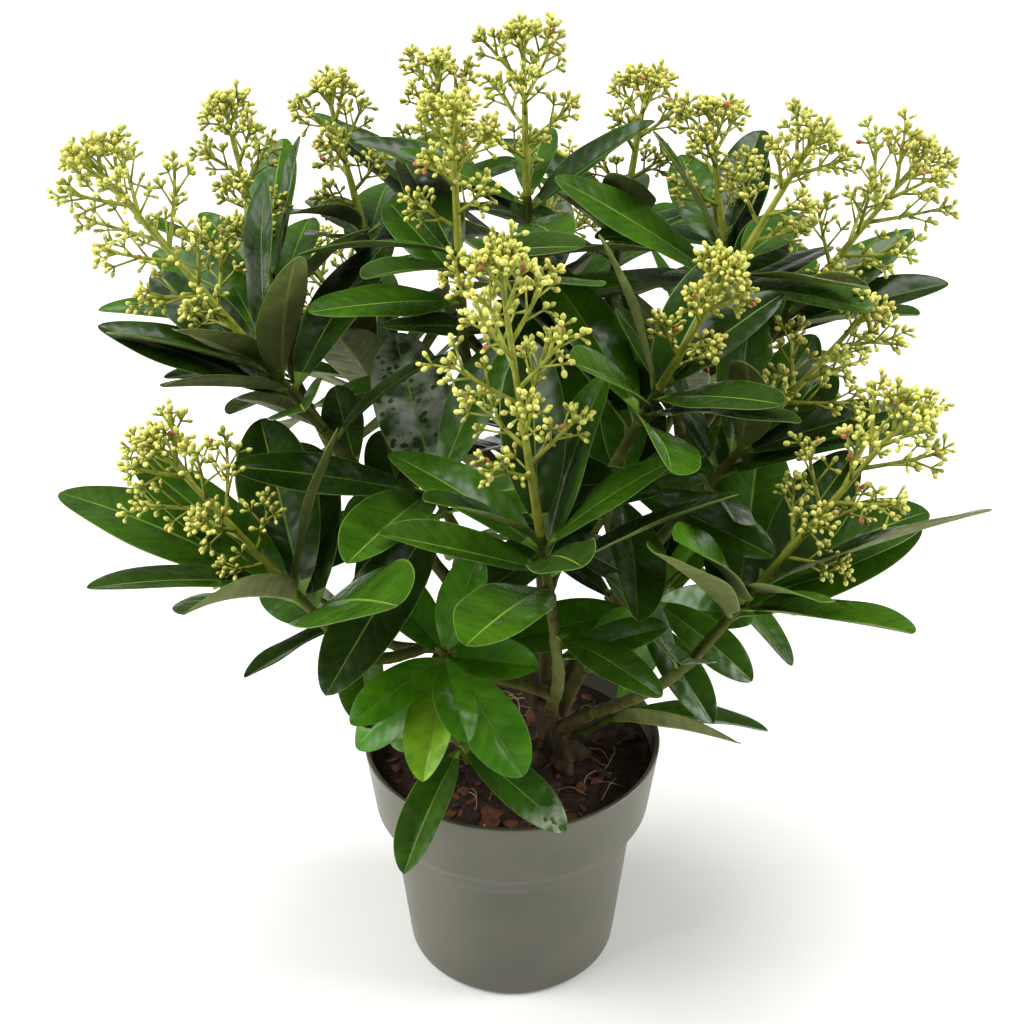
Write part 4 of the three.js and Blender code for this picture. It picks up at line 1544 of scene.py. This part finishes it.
@dataclass(frozen=True)
class OlderLeaves:
    """Leaves that are left from other years, at the golden turn down the boughs below the whorls.

    They grow only where there is room: a leaf is kept if balls round spots all over its blade are
    clear of the balls that stand for the limbs, the flower heads and the leaves grown before it.
    """

    lines: dict[str, Line]
    number: int = -1  # an older leaf has no number of its own
    pitch: float = 7.5
    bare: float = 0.5  # share of a bough, from its fork, that has lost its leaves
    length: tuple[float, float] = (44, 66)
    spread: tuple[float, float] = (52, 84)
    droop: float = 0.12
    bend: tuple[float, float] = (8, 30)
    turns: tuple[float, ...] = (0, 35, -35, 70, -70, 110, -110)
    lowest: float = 196
    inset: float = 6  # kept from the box round the plant
    ball: float = 4.4
    ball_step: float = 3
    # Rows of spots from this share of the blade on, at these shares of half its width.
    spots_from: float = 0.25
    spot_rows: int = 8
    spot_columns: tuple[float, ...] = (-0.8, -0.4, 0, 0.4, 0.8)
    head_balls: int = 14
    head_from: float = 0.25  # share of a flower head's height
    head_fill: tuple[float, float] = (0.9, 0.6)
    margin: float = 30  # balls further from a leaf's base than its length and this aren't tested

    def spots(self, leaf: Leaf) -> Array:
        """Spreads spots over a leaf's blade.

        Args:
            leaf: the leaf.

        Returns:
            The spots, in rows across its midrib.
        """
        share = np.linspace(self.spots_from, 1, self.spot_rows)
        side = np.cross(leaf.along, leaf.face)
        across = half_width(share, leaf.length, leaf.width)[:, None] * np.array(self.spot_columns)
        return (leaf.midrib(share)[:, None] + across[..., None] * side).reshape(-1, 3)

    def obstacles(self, leaves: list[Leaf]) -> Array:
        """Sets balls along every limb and head and over every leaf.

        Args:
            leaves: the whorls' leaves.

        Returns:
            A row for each ball: its middle and its radius.
        """
        balls = [self.balls(self.spots(leaf), self.ball) for leaf in leaves]
        for line in self.lines.values():
            share = np.linspace(0, 1, int(line.lengths[-1] / self.ball_step))
            balls.append(self.balls(line.along(share)[0], line.radius(share)))
            places = np.arange(line.foot, line.height, self.ball_step)
            balls.append(self.balls(line.on_axis(places), STEM.radius))
            if line.shoot.flower:
                share = np.linspace(self.head_from, 1, self.head_balls)
                radius = line.shoot.flower * mix(*self.head_fill, share)
                balls.append(self.balls(line.on_axis(line.height * share), radius))
        return np.concatenate(balls)

    @staticmethod
    def balls(middles: Array, radius: float | Array) -> Array:
        """Returns rows of a middle and a radius."""
        return np.concatenate([middles, np.broadcast_to(radius, len(middles))[:, None]], axis=1)

    def has_room(self, leaf: Leaf, balls: Array) -> bool:
        """Says whether a leaf may grow.

        Args:
            leaf: the leaf.
            balls: the balls near it.

        Returns:
            Whether its spots are clear of the balls, above the pot and within the plant's box.
        """
        spots = self.spots(leaf)
        low, high = (np.array(corner) / MM for corner in CAD_BOX)
        outside = (spots < low + self.inset) | (spots > high - self.inset)
        if outside.any() or spots[:, 2].min() < self.lowest:
            return False
        gaps = np.linalg.norm(spots[:, None] - balls[None, :, :3], axis=-1) - balls[:, 3]
        return bool(gaps.min() > self.ball / 2)

    def choices(self, line: Line, number: int, chance: np.random.Generator) -> Iterator[Leaf]:
        """Draws a leaf on a bough, and turns it further round it each time.

        Args:
            line: the shoot's line.
            number: the leaf's, counted down from the whorl.
            chance: the seeded numbers.

        Yields:
            The leaf at each turn.
        """
        share = 1 - number * self.pitch / line.lengths[-1]
        places, ways = line.along(np.array([share]))
        spread = math.radians(mix(*self.spread, chance.random()))
        turn, length = line.shoot.turn - GOLDEN_TURN * number, mix(*self.length, chance.random())
        bend = math.radians(mix(*self.bend, chance.random()))
        for more in self.turns:
            along, face = (v[0] for v in turned_from(ways, np.array([spread]), np.radians([turn + more])))
            along = unit(along - self.droop * UP)
            face = face + 2 * LEAF.light * UP
            face = unit(face - (face @ along) * along)
            yield Leaf(line, self.number, places[0], along, face, length, LEAF.width, bend)

    def grown(self, leaves: list[Leaf]) -> list[Leaf]:
        """Grows the older leaves that there is room for.

        Args:
            leaves: the whorls' leaves.

        Returns:
            The older leaves.
        """
        chance = np.random.default_rng(Seed.OLDER_LEAVES)
        balls = self.obstacles(leaves)
        kept = []
        for line in self.lines.values():
            for number in range(1, int((1 - self.bare) * line.lengths[-1] / self.pitch)):
                for leaf in self.choices(line, number, chance):
                    near = np.abs(balls[:, :3] - leaf.base).max(axis=1) < leaf.length + self.margin
                    if self.has_room(leaf, balls[near]):
                        kept.append(leaf)
                        balls = np.concatenate([balls, self.balls(self.spots(leaf), self.ball)])
                        break
        return kept


@dataclass(frozen=True)
class Foliage:
    """The leaves: each a thin closed blade on a stalk, with a midrib, a thin margin and a dull
    underside, in faces of their own. Lengths are shares of the leaf's, and widths of half its own,
    unless they are in millimetres."""

    lines: dict[str, Line]
    low_below: float = 240
    high_above: float = 310
    rows: int = 25
    crowding: float = 0.7  # 0 sets the rings evenly, and 1 by a sine, closer together at the tip
    top: tuple[float, ...] = (-1, -0.965, -0.75, -0.45, -0.16, -0.028, 0.028, 0.16, 0.45, 0.75, 0.965, 1)
    under: tuple[float, ...] = (0.97, 0.6, 0.2, 0.07, -0.07, -0.2, -0.6, -0.97)
    thickness: float = 0.45  # millimetres, as are the next three
    stalk_thickness: float = 1.7
    keel: float = 0.7
    groove: float = 0.18
    keel_width: float = 0.12
    groove_width: float = 0.1
    stalk_end: float = 0.07
    stalk_melt: tuple[float, float] = (0.02, 0.16)  # where the stalk's thickness starts and ends to fall
    blade_melt: tuple[float, float] = (0.05, 0.25)  # and where the blade's forms rise
    edge_thinning: float = 0.4
    width: tuple[float, float] = (0.9, 1.04)
    twist: tuple[float, float] = (-14, 14)  # degrees
    fold: tuple[float, float] = (7, 25)  # degrees
    curl: tuple[float, float] = (0.02, 0.12)
    wave: tuple[float, float] = (0.01, 0.07)
    wave_rate: float = 11  # radians along the leaf
    wave_shift: float = 1.7  # radians between one edge's waves and the other's, halved
    rib_edge: float = 0.05
    top_margin: float = 0.9
    under_margin: float = 0.95
    older_deep: float = 0.6  # these are shares of the leaves that have the green that they name
    skirt_mid: float = 0.7
    high_deep: float = 0.7
    low_fresh: float = 0.15
    rest_mid: float = 0.6

    def region(self, line: Line) -> Region:
        """Says which group a shoot's leaves are in.

        Args:
            line: the shoot's line.

        Returns:
            The group.
        """
        if line.shoot.young:
            return Region.YOUNG
        if line.head[2] < self.low_below:
            return Region.LOW
        return Region.HIGH if line.head[2] > self.high_above else Region.MIDDLE

    def build(self) -> None:
        """Builds one piece for each group."""
        groups: dict[Region, list[Line]] = {region: [] for region in Region}
        for line in self.lines.values():
            groups[self.region(line)].append(line)
        whorls = [leaf for line in self.lines.values() for leaf in grown_leaves(line)]
        grown = whorls + OlderLeaves(self.lines).grown(whorls)
        skin = Skin(self.rows, len(self.top) + len(self.under))
        finishes = [*LEAF_GREENS.values(), LEAF_UNDERSIDE, LEAF_RIB, LEAF_MARGIN, LEAF_KEEL]
        for region, lines in groups.items():
            leaves = [leaf for leaf in grown if leaf.line in lines]
            piece = Piece(region.value)
            points, uv = self.blades(leaves)
            piece.add(points, skin, self.finish_of(leaves), uv)
            piece.make(finishes, [f"mass_{line.name}" for line in lines])

    def shares(self) -> Array:
        """Returns where the rings stand along a leaf, closer together at the tip."""
        even = np.arange(self.rows) / self.rows
        return mix(even, np.sin(np.pi / 2 * even), self.crowding)

    def blades(self, leaves: list[Leaf]) -> tuple[Array, Array]:
        """Works out all the leaves at once.

        The midrib is an arc that bends back from the face. Across it each ring runs over the top from
        edge to edge and back underneath. The halves are raised from the midrib by a small fold, their
        edges curl back a little and wave, and the section turns about the midrib towards the tip.

        Args:
            leaves: the leaves to build.

        Returns:
            The points for a Skin, and their places on the blade in millimetres.
        """
        chance = np.random.default_rng(SEED + leaves[0].line.index)
        count = len(leaves)
        base, along, face, length, width, bend = (
            np.stack([getattr(leaf, key) for leaf in leaves])[:, None]
            for key in ("base", "along", "face", "length", "width", "bend")
        )
        share = self.shares()[None]
        stops = np.append(share, [[0, 1]], axis=1)  # the rings, and then the two end points
        arch = np.sin(bend * stops)[..., None] * along - (1 - np.cos(bend * stops))[..., None] * face
        middle = base + (length / bend)[..., None] * arch
        lift = face * np.cos(bend * share)[..., None] + along * np.sin(bend * share)[..., None]
        side = np.broadcast_to(np.cross(along, face), lift.shape)
        twist = (np.radians(mix(*self.twist, chance.random((count, 1)))) * share)[..., None]
        side, lift = side * np.cos(twist) + lift * np.sin(twist), lift * np.cos(twist) - side * np.sin(twist)

        half = half_width(share, length, width * mix(*self.width, chance.random((count, 1))))[..., None]
        ring, place = share[..., None], np.array([*self.top, *self.under])
        fold = np.sin(np.radians(mix(*self.fold, chance.random((count, 1, 1)))))
        curl, wave = (mix(*ends, chance.random((count, 1, 1))) for ends in (self.curl, self.wave))
        phase = 2 * np.pi * chance.random((count, 1, 1))
        body = smooth_step(*self.blade_melt, ring)
        rise = half * (fold * np.abs(place) - curl * np.abs(place) ** 4)
        waves = np.sin(self.wave_rate * ring + phase + self.wave_shift * np.sign(place))
        rise = rise + body * half * wave * place**2 * waves
        thick = mix(self.stalk_thickness, self.thickness, smooth_step(*self.stalk_melt, ring))
        thick = thick * (1 - self.edge_thinning * np.abs(place) ** 3)
        keel = self.keel * (1 - ring) * body * np.exp(-((place / self.keel_width) ** 2))
        groove = self.groove * body * np.exp(-((place / self.groove_width) ** 2))
        rise = rise - np.where(np.arange(len(place)) < len(self.top), groove, thick + keel)
        across = side[:, :, None] * (half * place)[..., None]
        points = middle[:, : self.rows, None] + across + lift[:, :, None] * rise[..., None]
        points = np.concatenate([points.reshape(count, -1, 3), middle[:, self.rows :]], axis=1)

        uv = np.stack(np.broadcast_arrays((share * length)[..., None], half * place), axis=-1)
        ends = np.stack([np.zeros((count, 2)), np.concatenate([length, 0 * length], axis=1)], axis=1)
        return points, np.concatenate([uv.reshape(count, -1, 2), ends], axis=1)

    def green_of(self, leaf: Leaf, chance: np.random.Generator) -> Green:
        """Deals out a leaf's green: deeper towards the top of the plant, brighter low in front.

        Args:
            leaf: the leaf.
            chance: the seeded numbers.

        Returns:
            Its green.
        """
        luck, line = chance.random(), leaf.line
        if (line.name, leaf.number) in MARKED_LEAVES:
            return MARKED_LEAVES[line.name, leaf.number]
        if leaf.number < 0:
            return Green.DEEP if luck < self.older_deep else Green.MID
        if line.shoot.young:
            return Green.YOUNG
        if line.name.startswith("skirt"):
            return Green.MID if luck < self.skirt_mid else Green.FRESH
        if line.head[2] > self.high_above:
            return Green.DEEP if luck < self.high_deep else Green.MID
        if line.head[2] < self.low_below and luck > 1 - self.low_fresh:
            return Green.FRESH
        return Green.MID if luck < self.rest_mid else Green.DEEP

    def finish_of(self, leaves: list[Leaf]) -> Array:
        """Deals out the finishes: margin, green and midrib above, and dull with a keel below.

        Args:
            leaves: the leaves.

        Returns:
            (leaves, faces) numbers of finishes.
        """
        below, rib, margin, keel = range(len(Green), len(Green) + 4)
        spots = np.concatenate([self.top, self.under])
        middle = np.abs(spots + np.roll(spots, -1)) / 2
        green = -1
        above = np.where(middle > self.top_margin, margin, np.where(middle < self.rib_edge, rib, green))
        under = np.where(middle > self.under_margin, margin, np.where(middle < self.rib_edge, keel, below))
        kinds = np.where(np.arange(len(spots)) < len(self.top) - 1, above, under)
        grid = np.tile(kinds, (self.rows - 1, 1))
        grid[self.shares()[:-1] < self.stalk_end] = rib
        faces = np.concatenate([grid.ravel(), np.full(len(spots), rib), kinds])
        chance = np.random.default_rng(Seed.LEAF_TONES)
        tones = np.array([self.green_of(leaf, chance).value for leaf in leaves])[:, None]
        return np.where(faces == green, tones, faces)


# ---- Stems and flower heads ----
class Bud(IntEnum):
    """The petals of a closed bud, and the cup under them, as the numbers of their finishes."""

    RIPE = 0
    GOLDEN = 1
    RUSTY = 2
    CUP = 3
    UNRIPE = 4


@dataclass(frozen=True)
class FlowerHeads:
    """The green stems, and the heads on them: sprays that fork into twigs with four buds each."""

    lines: dict[str, Line]
    stem_around: int = 12
    stem_step: float = 2.2
    stem_sunk: float = 2  # how far a stem starts inside its bough's end
    stem_short: float = 0.5  # and how far under its tip it stops
    # Its radii, at its foot, at these distances from the whorl's head and the tip, and at the tip.
    stem_radii: tuple[float, ...] = (2.1, 1.7, 1.6, 1.2, 0.8, 0.5)
    stem_heights: tuple[float, ...] = (-4, 0, 0, -2)
    stem_shares: tuple[float, ...] = (0, 0.12, 0.5, 1)  # each from this share of the head's height
    ribs: int = 5
    rib_height: float = 0.1
    rib_turn: float = 0.05  # radians for each millimetre
    # The stem's noise is read off a tube of this radius, squashed along it.
    skin_tube: float = 3
    skin_squash: float = 0.4
    skin_height: float = 0.14
    skin_width: float = 2
    stalk_fray: float = 3  # how far the stem's noise shifts the foot of the flower stalk
    stalk_points: int = 6
    stalk_rise: float = 0.06
    stalk_least: float = 0.55
    stalk_radius: tuple[float, float] = (0.95, 0.55)
    bud_reach: float = 6.5
    short_spray: float = 13  # a spray up to this long has every other twig only
    twig_shares: tuple[float, ...] = (0.34, 0.46, 0.58, 0.7, 0.81, 0.91)
    twig_lean: tuple[float, float] = (58, 34)
    twig_lean_spread: tuple[float, float] = (0.85, 1.15)
    twig_length: tuple[float, float] = (0.4, 0.2)
    twig_length_spread: tuple[float, float] = (0.75, 1.15)
    twig_upward: float = 0.25
    twig_radii: tuple[float, ...] = (0.55, 0.46, 0.42)
    pedicel_turns: tuple[float, ...] = (0, 0, 120, 240)
    pedicel_leans: tuple[float, ...] = (8, 48, 54, 60)
    pedicel_lean_spread: tuple[float, float] = (0.7, 1.2)
    pedicel_length: tuple[float, float] = (1.4, 3.6)
    pedicel_radii: tuple[float, ...] = (0.36, 0.4, 0.62)
    bud_pieces: int = 3
    bud_around: int = 6
    bud_radius: tuple[float, float] = (0.76, 1.12)
    # A bud's rings and its two ends, with heights and radii as shares of the bud's radius.
    ring_heights: tuple[float, ...] = (0.05, 0.5, 1.25, 2.0, 2.5)
    ring_radii: tuple[float, ...] = (0.42, 0.86, 1.02, 0.82, 0.4)
    bud_foot: float = -0.1  # millimetres
    bud_top: float = 2.68
    rusty_share: float = 0.012
    golden_share: float = 0.16  # with the rusty ones
    # The buds near the top of the plant are less ripe, so more of them are still green.
    unripe_heights: tuple[float, float] = (260, 360)
    unripe_shares: tuple[float, float] = (0.1, 0.62)

    def build(self) -> None:
        """Builds the stems, the flower stalks and the buds."""
        self.build_stems()
        self.build_heads()

    def build_stems(self) -> None:
        """Sweeps each stem from inside its bough's end to its tip, thinner upwards and a little uneven."""
        piece = Piece("green_stems")
        angle = even_turns(self.stem_around)
        for line in self.lines.values():
            low = line.foot - self.stem_sunk
            rings = max(8, int((line.height - low) / self.stem_step))
            place = np.linspace(low, line.height - self.stem_short, rings)
            stops = line.height * np.array(self.stem_shares) + self.stem_heights
            radius = np.interp(place, [low, *stops, line.height], self.stem_radii)[:, None]
            ribs = self.rib_height * np.cos(self.ribs * angle + self.rib_turn * place[:, None])
            tube = round_axis(self.skin_tube, angle, self.skin_squash * place[:, None])
            rough = self.skin_height * Noise(Seed.STEM_SKIN + line.index).at(tube, self.skin_width)
            points = sweep(line.on_axis(place)[None], (radius * (1 + ribs) + rough)[None], self.stem_around)
            is_stalk = bool(line.shoot.flower) & (place[:-1] + self.stalk_fray * rough[:-1, 0] > 0)
            finish = np.repeat([*is_stalk, False, is_stalk[-1]], self.stem_around)
            piece.add(points, Skin(rings, self.stem_around), finish)
        piece.make([STEM_GREEN, STALK], [f"mass_{name}" for name in self.lines])

    def sprays(self, line: Line) -> list[tuple[Array, Array, float]]:
        """Finds the sprays that the head's solid has.

        The sprays follow the solids' rule: they stand at the golden turn up the stalk, each as long as
        the head's outline allows, which is half a sine wave to a power. The solid has a spray if one of
        its cluster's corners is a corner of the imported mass.

        Args:
            line: the shoot's line.

        Returns:
            The root, direction and length of each spray.
        """
        chance = draws(SEED + SPRAY_SEED + line.index)
        corners = node_points(f"mass_{line.name}")
        found = []
        steps = round((1 - HEAD.bare) * line.height / HEAD.pitch)
        for i in range(steps + 1):
            share = i / steps
            angle = math.radians(mix(*HEAD.angle, share))
            outline = math.sin(math.pi * mix(*HEAD.widest, share)) ** HEAD.swell
            reach = line.shoot.flower * outline * mix(*HEAD.variety, next(chance))
            length = min(max(HEAD.shortest, reach / math.sin(angle)), line.height * HEAD.longest)
            place = min(mix(HEAD.bare, 1, share) * line.height, line.height - length * math.cos(angle))
            way, _ = turned_from(line.axis, angle, math.radians(GOLDEN_TURN * i + line.shoot.turn))
            root = line.on_axis(place)
            if nearest(corners, root + way * length * HEAD.club) < CLUSTER_MATCH:
                found.append((root, way, length))
        return found

    def build_heads(self) -> None:
        """Grows the stalks, twigs, bud stalks and buds of all the heads as whole arrays.

        A spray's stalk runs a little upwards. Twigs leave it at the golden turn, each shorter and more
        upright than the last, and every twig and the stalk itself ends in four buds on short stalks.
        """
        chance = np.random.default_rng(Seed.SPRAYS)
        flowering = [line for line in self.lines.values() if line.shoot.flower]
        rows = [(line.axis, *spray) for line in flowering for spray in self.sprays(line)]
        axis, root, way, length = (np.array(column) for column in zip(*rows))
        length = length[:, None]
        reach = np.maximum(self.stalk_least * length, length - self.bud_reach)
        share, shares = np.linspace(0, 1, self.stalk_points), np.array(self.twig_shares)
        stalks, forks = (
            root[:, None]
            + way[:, None] * (reach * part)[..., None]
            + (axis * self.stalk_rise * length)[:, None] * part[:, None] ** 2
            for part in (share, shares)
        )
        twigs, ways = self.twigs(axis, way, length, forks, chance)
        ends = np.concatenate([twigs[:, -1], stalks[:, -1]])
        ways = np.concatenate([ways, unit(stalks[:, -1] - stalks[:, -2])])
        ways, lengths = self.pedicels(ways, chance)
        cups = ends[:, None] + ways * lengths
        along = np.linspace(0, 1, len(self.pedicel_radii))[:, None]
        pedicels = mix(ends[:, None, None], cups[:, :, None], along).reshape(-1, len(along), 3)
        radii = mix(*self.stalk_radius, share)
        self.build_stalks("flower_stalks", [(stalks, radii, 7), (twigs, self.twig_radii, 6)])
        self.build_stalks("bud_stalks", [(pedicels, self.pedicel_radii, 5)])
        self.build_buds(cups.reshape(-1, 3), ways.reshape(-1, 3), chance)

    @staticmethod
    def build_stalks(name: str, sorts: Sequence[tuple[Array, Sequence[float], int]]) -> None:
        """Sweeps a piece of stalks.

        Args:
            name: the piece's name.
            sorts: for each sort of stalk, its lines, its radii along them and its points round it.
        """
        piece = Piece(name)
        for lines, radii, around in sorts:
            piece.add(sweep(lines, np.tile(radii, (len(lines), 1)), around), Skin(len(radii), around))
        piece.make([STALK])

    def twigs(
        self, axis: Array, way: Array, length: Array, forks: Array, chance: np.random.Generator
    ) -> tuple[Array, Array]:
        """Grows the twigs of every spray.

        Args:
            axis: (sprays, 3) directions of their heads.
            way: (sprays, 3) directions of the sprays.
            length: (sprays, 1) their lengths.
            forks: (sprays, twigs, 3) where the twigs leave them.
            chance: the seeded numbers.

        Returns:
            (twigs, 3, 3) points along the twigs, and their directions.
        """
        sprays, count = forks.shape[:2]
        shares = np.array(self.twig_shares)
        turn = np.radians(GOLDEN_TURN) * np.arange(count) + 2 * np.pi * chance.random((sprays, 1))
        lean = mix(*self.twig_lean_spread, chance.random((sprays, count)))
        lean = np.radians(mix(*self.twig_lean, shares)) * lean
        ways, _ = turned_from(np.broadcast_to(way[:, None], forks.shape), lean, turn)
        ways = unit(ways + self.twig_upward * axis[:, None])
        reach = length * mix(*self.twig_length, shares)
        reach = reach * mix(*self.twig_length_spread, chance.random((sprays, count)))
        kept = (length > self.short_spray) | (np.arange(count) % 2 == 0)
        ways, reach = ways[kept], reach[kept][:, None]
        along = np.linspace(0, 1, len(self.twig_radii))
        return forks[kept][:, None] + ways[:, None] * (reach * along)[..., None], ways

    def pedicels(self, ways: Array, chance: np.random.Generator) -> tuple[Array, Array]:
        """Draws four bud stalks at the end of each twig: one runs on, and three lean off round it.

        Args:
            ways: (ends, 3) the twigs' directions.
            chance: the seeded numbers.

        Returns:
            (ends, 4, 3) directions and (ends, 4, 1) lengths.
        """
        turn = 2 * np.pi * chance.random((len(ways), 1)) + np.radians(self.pedicel_turns)
        lean = np.radians(self.pedicel_leans) * mix(*self.pedicel_lean_spread, chance.random(turn.shape))
        leaning, _ = turned_from(np.broadcast_to(ways[:, None], (*turn.shape, 3)), lean, turn)
        return leaning, mix(*self.pedicel_length, chance.random((*turn.shape, 1)))

    def build_buds(self, cups: Array, ways: Array, chance: np.random.Generator) -> None:
        """Turns every bud: an egg on a small cup, as rings of set heights and radii.

        Args:
            cups: (buds, 3) where the buds sit.
            ways: (buds, 3) the way that they point.
            chance: the seeded numbers.
        """
        count = len(cups)
        size = mix(*self.bud_radius, chance.random((count, 1, 1, 1)))
        height, radius = (np.array(part)[:, None, None] for part in (self.ring_heights, self.ring_radii))
        angle = even_turns(self.bud_around)
        first, second = across_of(ways)
        spokes = first[:, None] * np.cos(angle)[:, None] + second[:, None] * np.sin(angle)[:, None]
        rings = cups[:, None, None] + size * (radius * spokes[:, None] + height * ways[:, None, None])
        middle, way = cups[:, None], ways[:, None]
        ends = [middle + self.bud_foot * way, middle + self.bud_top * size[:, 0] * way]
        points = np.concatenate([rings.reshape(count, -1, 3), *ends], axis=1)
        skin = Skin(len(height), self.bud_around)
        faces = np.arange(len(skin.corners()[1])) // self.bud_around  # rows of faces, then the two fans
        is_cup = (faces == 0) | (faces == len(height) - 1)
        luck = chance.random((count, 1))
        dry = np.where(luck < self.rusty_share, Bud.RUSTY, Bud.GOLDEN)
        petals = np.where(luck < self.golden_share, dry, Bud.RIPE)
        unripe = np.interp(cups[:, 2:], self.unripe_heights, self.unripe_shares)
        petals = np.where(luck > 1 - unripe, Bud.UNRIPE, petals)
        finish = np.where(is_cup, Bud.CUP, petals)
        for number, chosen in enumerate(np.array_split(np.argsort(cups[:, 2]), self.bud_pieces), 1):
            piece = Piece(f"flower_buds_{number}")
            piece.add(points[chosen], skin, finish[chosen])
            piece.make([BUD_PETAL, BUD_GOLD, BUD_RED, BUD_CUP, BUD_GREEN])


# ---- Studio ----
@dataclass(frozen=True)
class Softbox:
    """A square white light: its name, its place and its side in metres, and its power in watts."""

    name: str
    place: tuple[float, float, float]
    side: float
    power: float

    def hang(self) -> None:
        """Hangs it so that it looks at the middle of the plant."""
        light = bpy.data.lights.new(self.name, "AREA")
        light.size, light.energy = self.side, self.power
        holder = bpy.data.objects.new(self.name, light)
        holder.location = self.place
        middle = (CAD_BOX[0] + CAD_BOX[1]) / 2
        holder.rotation_euler = (middle - holder.location).to_track_quat("-Z", "Y").to_euler()
        bpy.context.scene.collection.objects.link(holder)


@dataclass(frozen=True)
class Studio:
    """A plain pale floor with a painted glow, soft white light from above and all round, and the camera."""

    softboxes: tuple[Softbox, ...] = (
        Softbox("key_left", (-0.95, -0.4, 1.5), 1.1, 31),
        Softbox("side_left", (-1.5, -0.1, 0.7), 0.8, 14),
        Softbox("side_right", (1.5, -0.1, 0.8), 0.8, 26),
        Softbox("top", (0.1, 0.35, 1.9), 1.0, 34),
    )
    sky_colour: str = "#fffdf6"
    sky: float = 0.28
    camera_place: tuple[float, float, float] = (0, -0.590, 0.565)
    camera_dip: float = 30  # degrees below the horizon
    camera_range: tuple[float, float] = (0.01, 20)
    lens: float = 58.8
    sensor: float = 36
    floor_size: float = 14
    floor_glow: float = 0.12

    def build(self) -> None:
        """Sets up the floor, the lights, the camera and the way that colours are shown."""
        self.build_floor()
        self.build_sky()
        for softbox in self.softboxes:
            softbox.hang()
        self.build_camera()
        settings = bpy.context.scene.view_settings
        settings.view_transform, settings.look = "Standard", "None"

    def build_floor(self) -> None:
        """Lays a wide plane just under the pot."""
        mesh = bpy.data.meshes.new("floor")
        half = self.floor_size / 2
        corners = [(x * half, y * half, 0) for x, y in ((-1, -1), (1, -1), (1, 1), (-1, 1))]
        mesh.from_pydata(corners, [], [range(4)])
        # The paper glows, more further out from the plant: painted light, not a lamp.
        paper = GlowingPaper("floor_white_paper_painted_glow", "#dadad8", "#dadad8", 0.7, glow=self.floor_glow)
        mesh.materials.append(paper.material())
        floor = bpy.data.objects.new("floor", mesh)
        bpy.context.scene.collection.objects.link(floor)
        floor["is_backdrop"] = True

    def build_sky(self) -> None:
        """Fills the surroundings with soft warm white."""
        world = bpy.data.worlds.new("studio_white")
        world.use_nodes = True
        background = world.node_tree.nodes["Background"]
        background.inputs["Color"].default_value = linear(self.sky_colour)
        background.inputs["Strength"].default_value = self.sky
        bpy.context.scene.world = world

    def build_camera(self) -> None:
        """Sets the camera in front of the plant and above it, tipped down."""
        camera = bpy.data.cameras.new("camera")
        camera.lens, camera.sensor_width = self.lens, self.sensor
        camera.clip_start, camera.clip_end = self.camera_range
        holder = bpy.data.objects.new("camera", camera)
        holder.location = self.camera_place
        holder.rotation_euler = (math.radians(90 - self.camera_dip), 0, 0)
        bpy.context.scene.collection.objects.link(holder)
        bpy.context.scene.camera = holder


def main() -> None:
    logging.basicConfig(level=logging.INFO, format="%(message)s")
    Studio().build()
    lines = grown_lines()
    NurseryPot().build()
    PottingSoil().build()
    WoodyLimbs(lines).build()
    Foliage(lines).build()
    FlowerHeads(lines).build()
    boxes = {"cad": CAD_BOX, "visual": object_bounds()}
    {name: [list(corner) for corner in box] for name, box in boxes.items()}


if __name__ == "__main__":
    main()
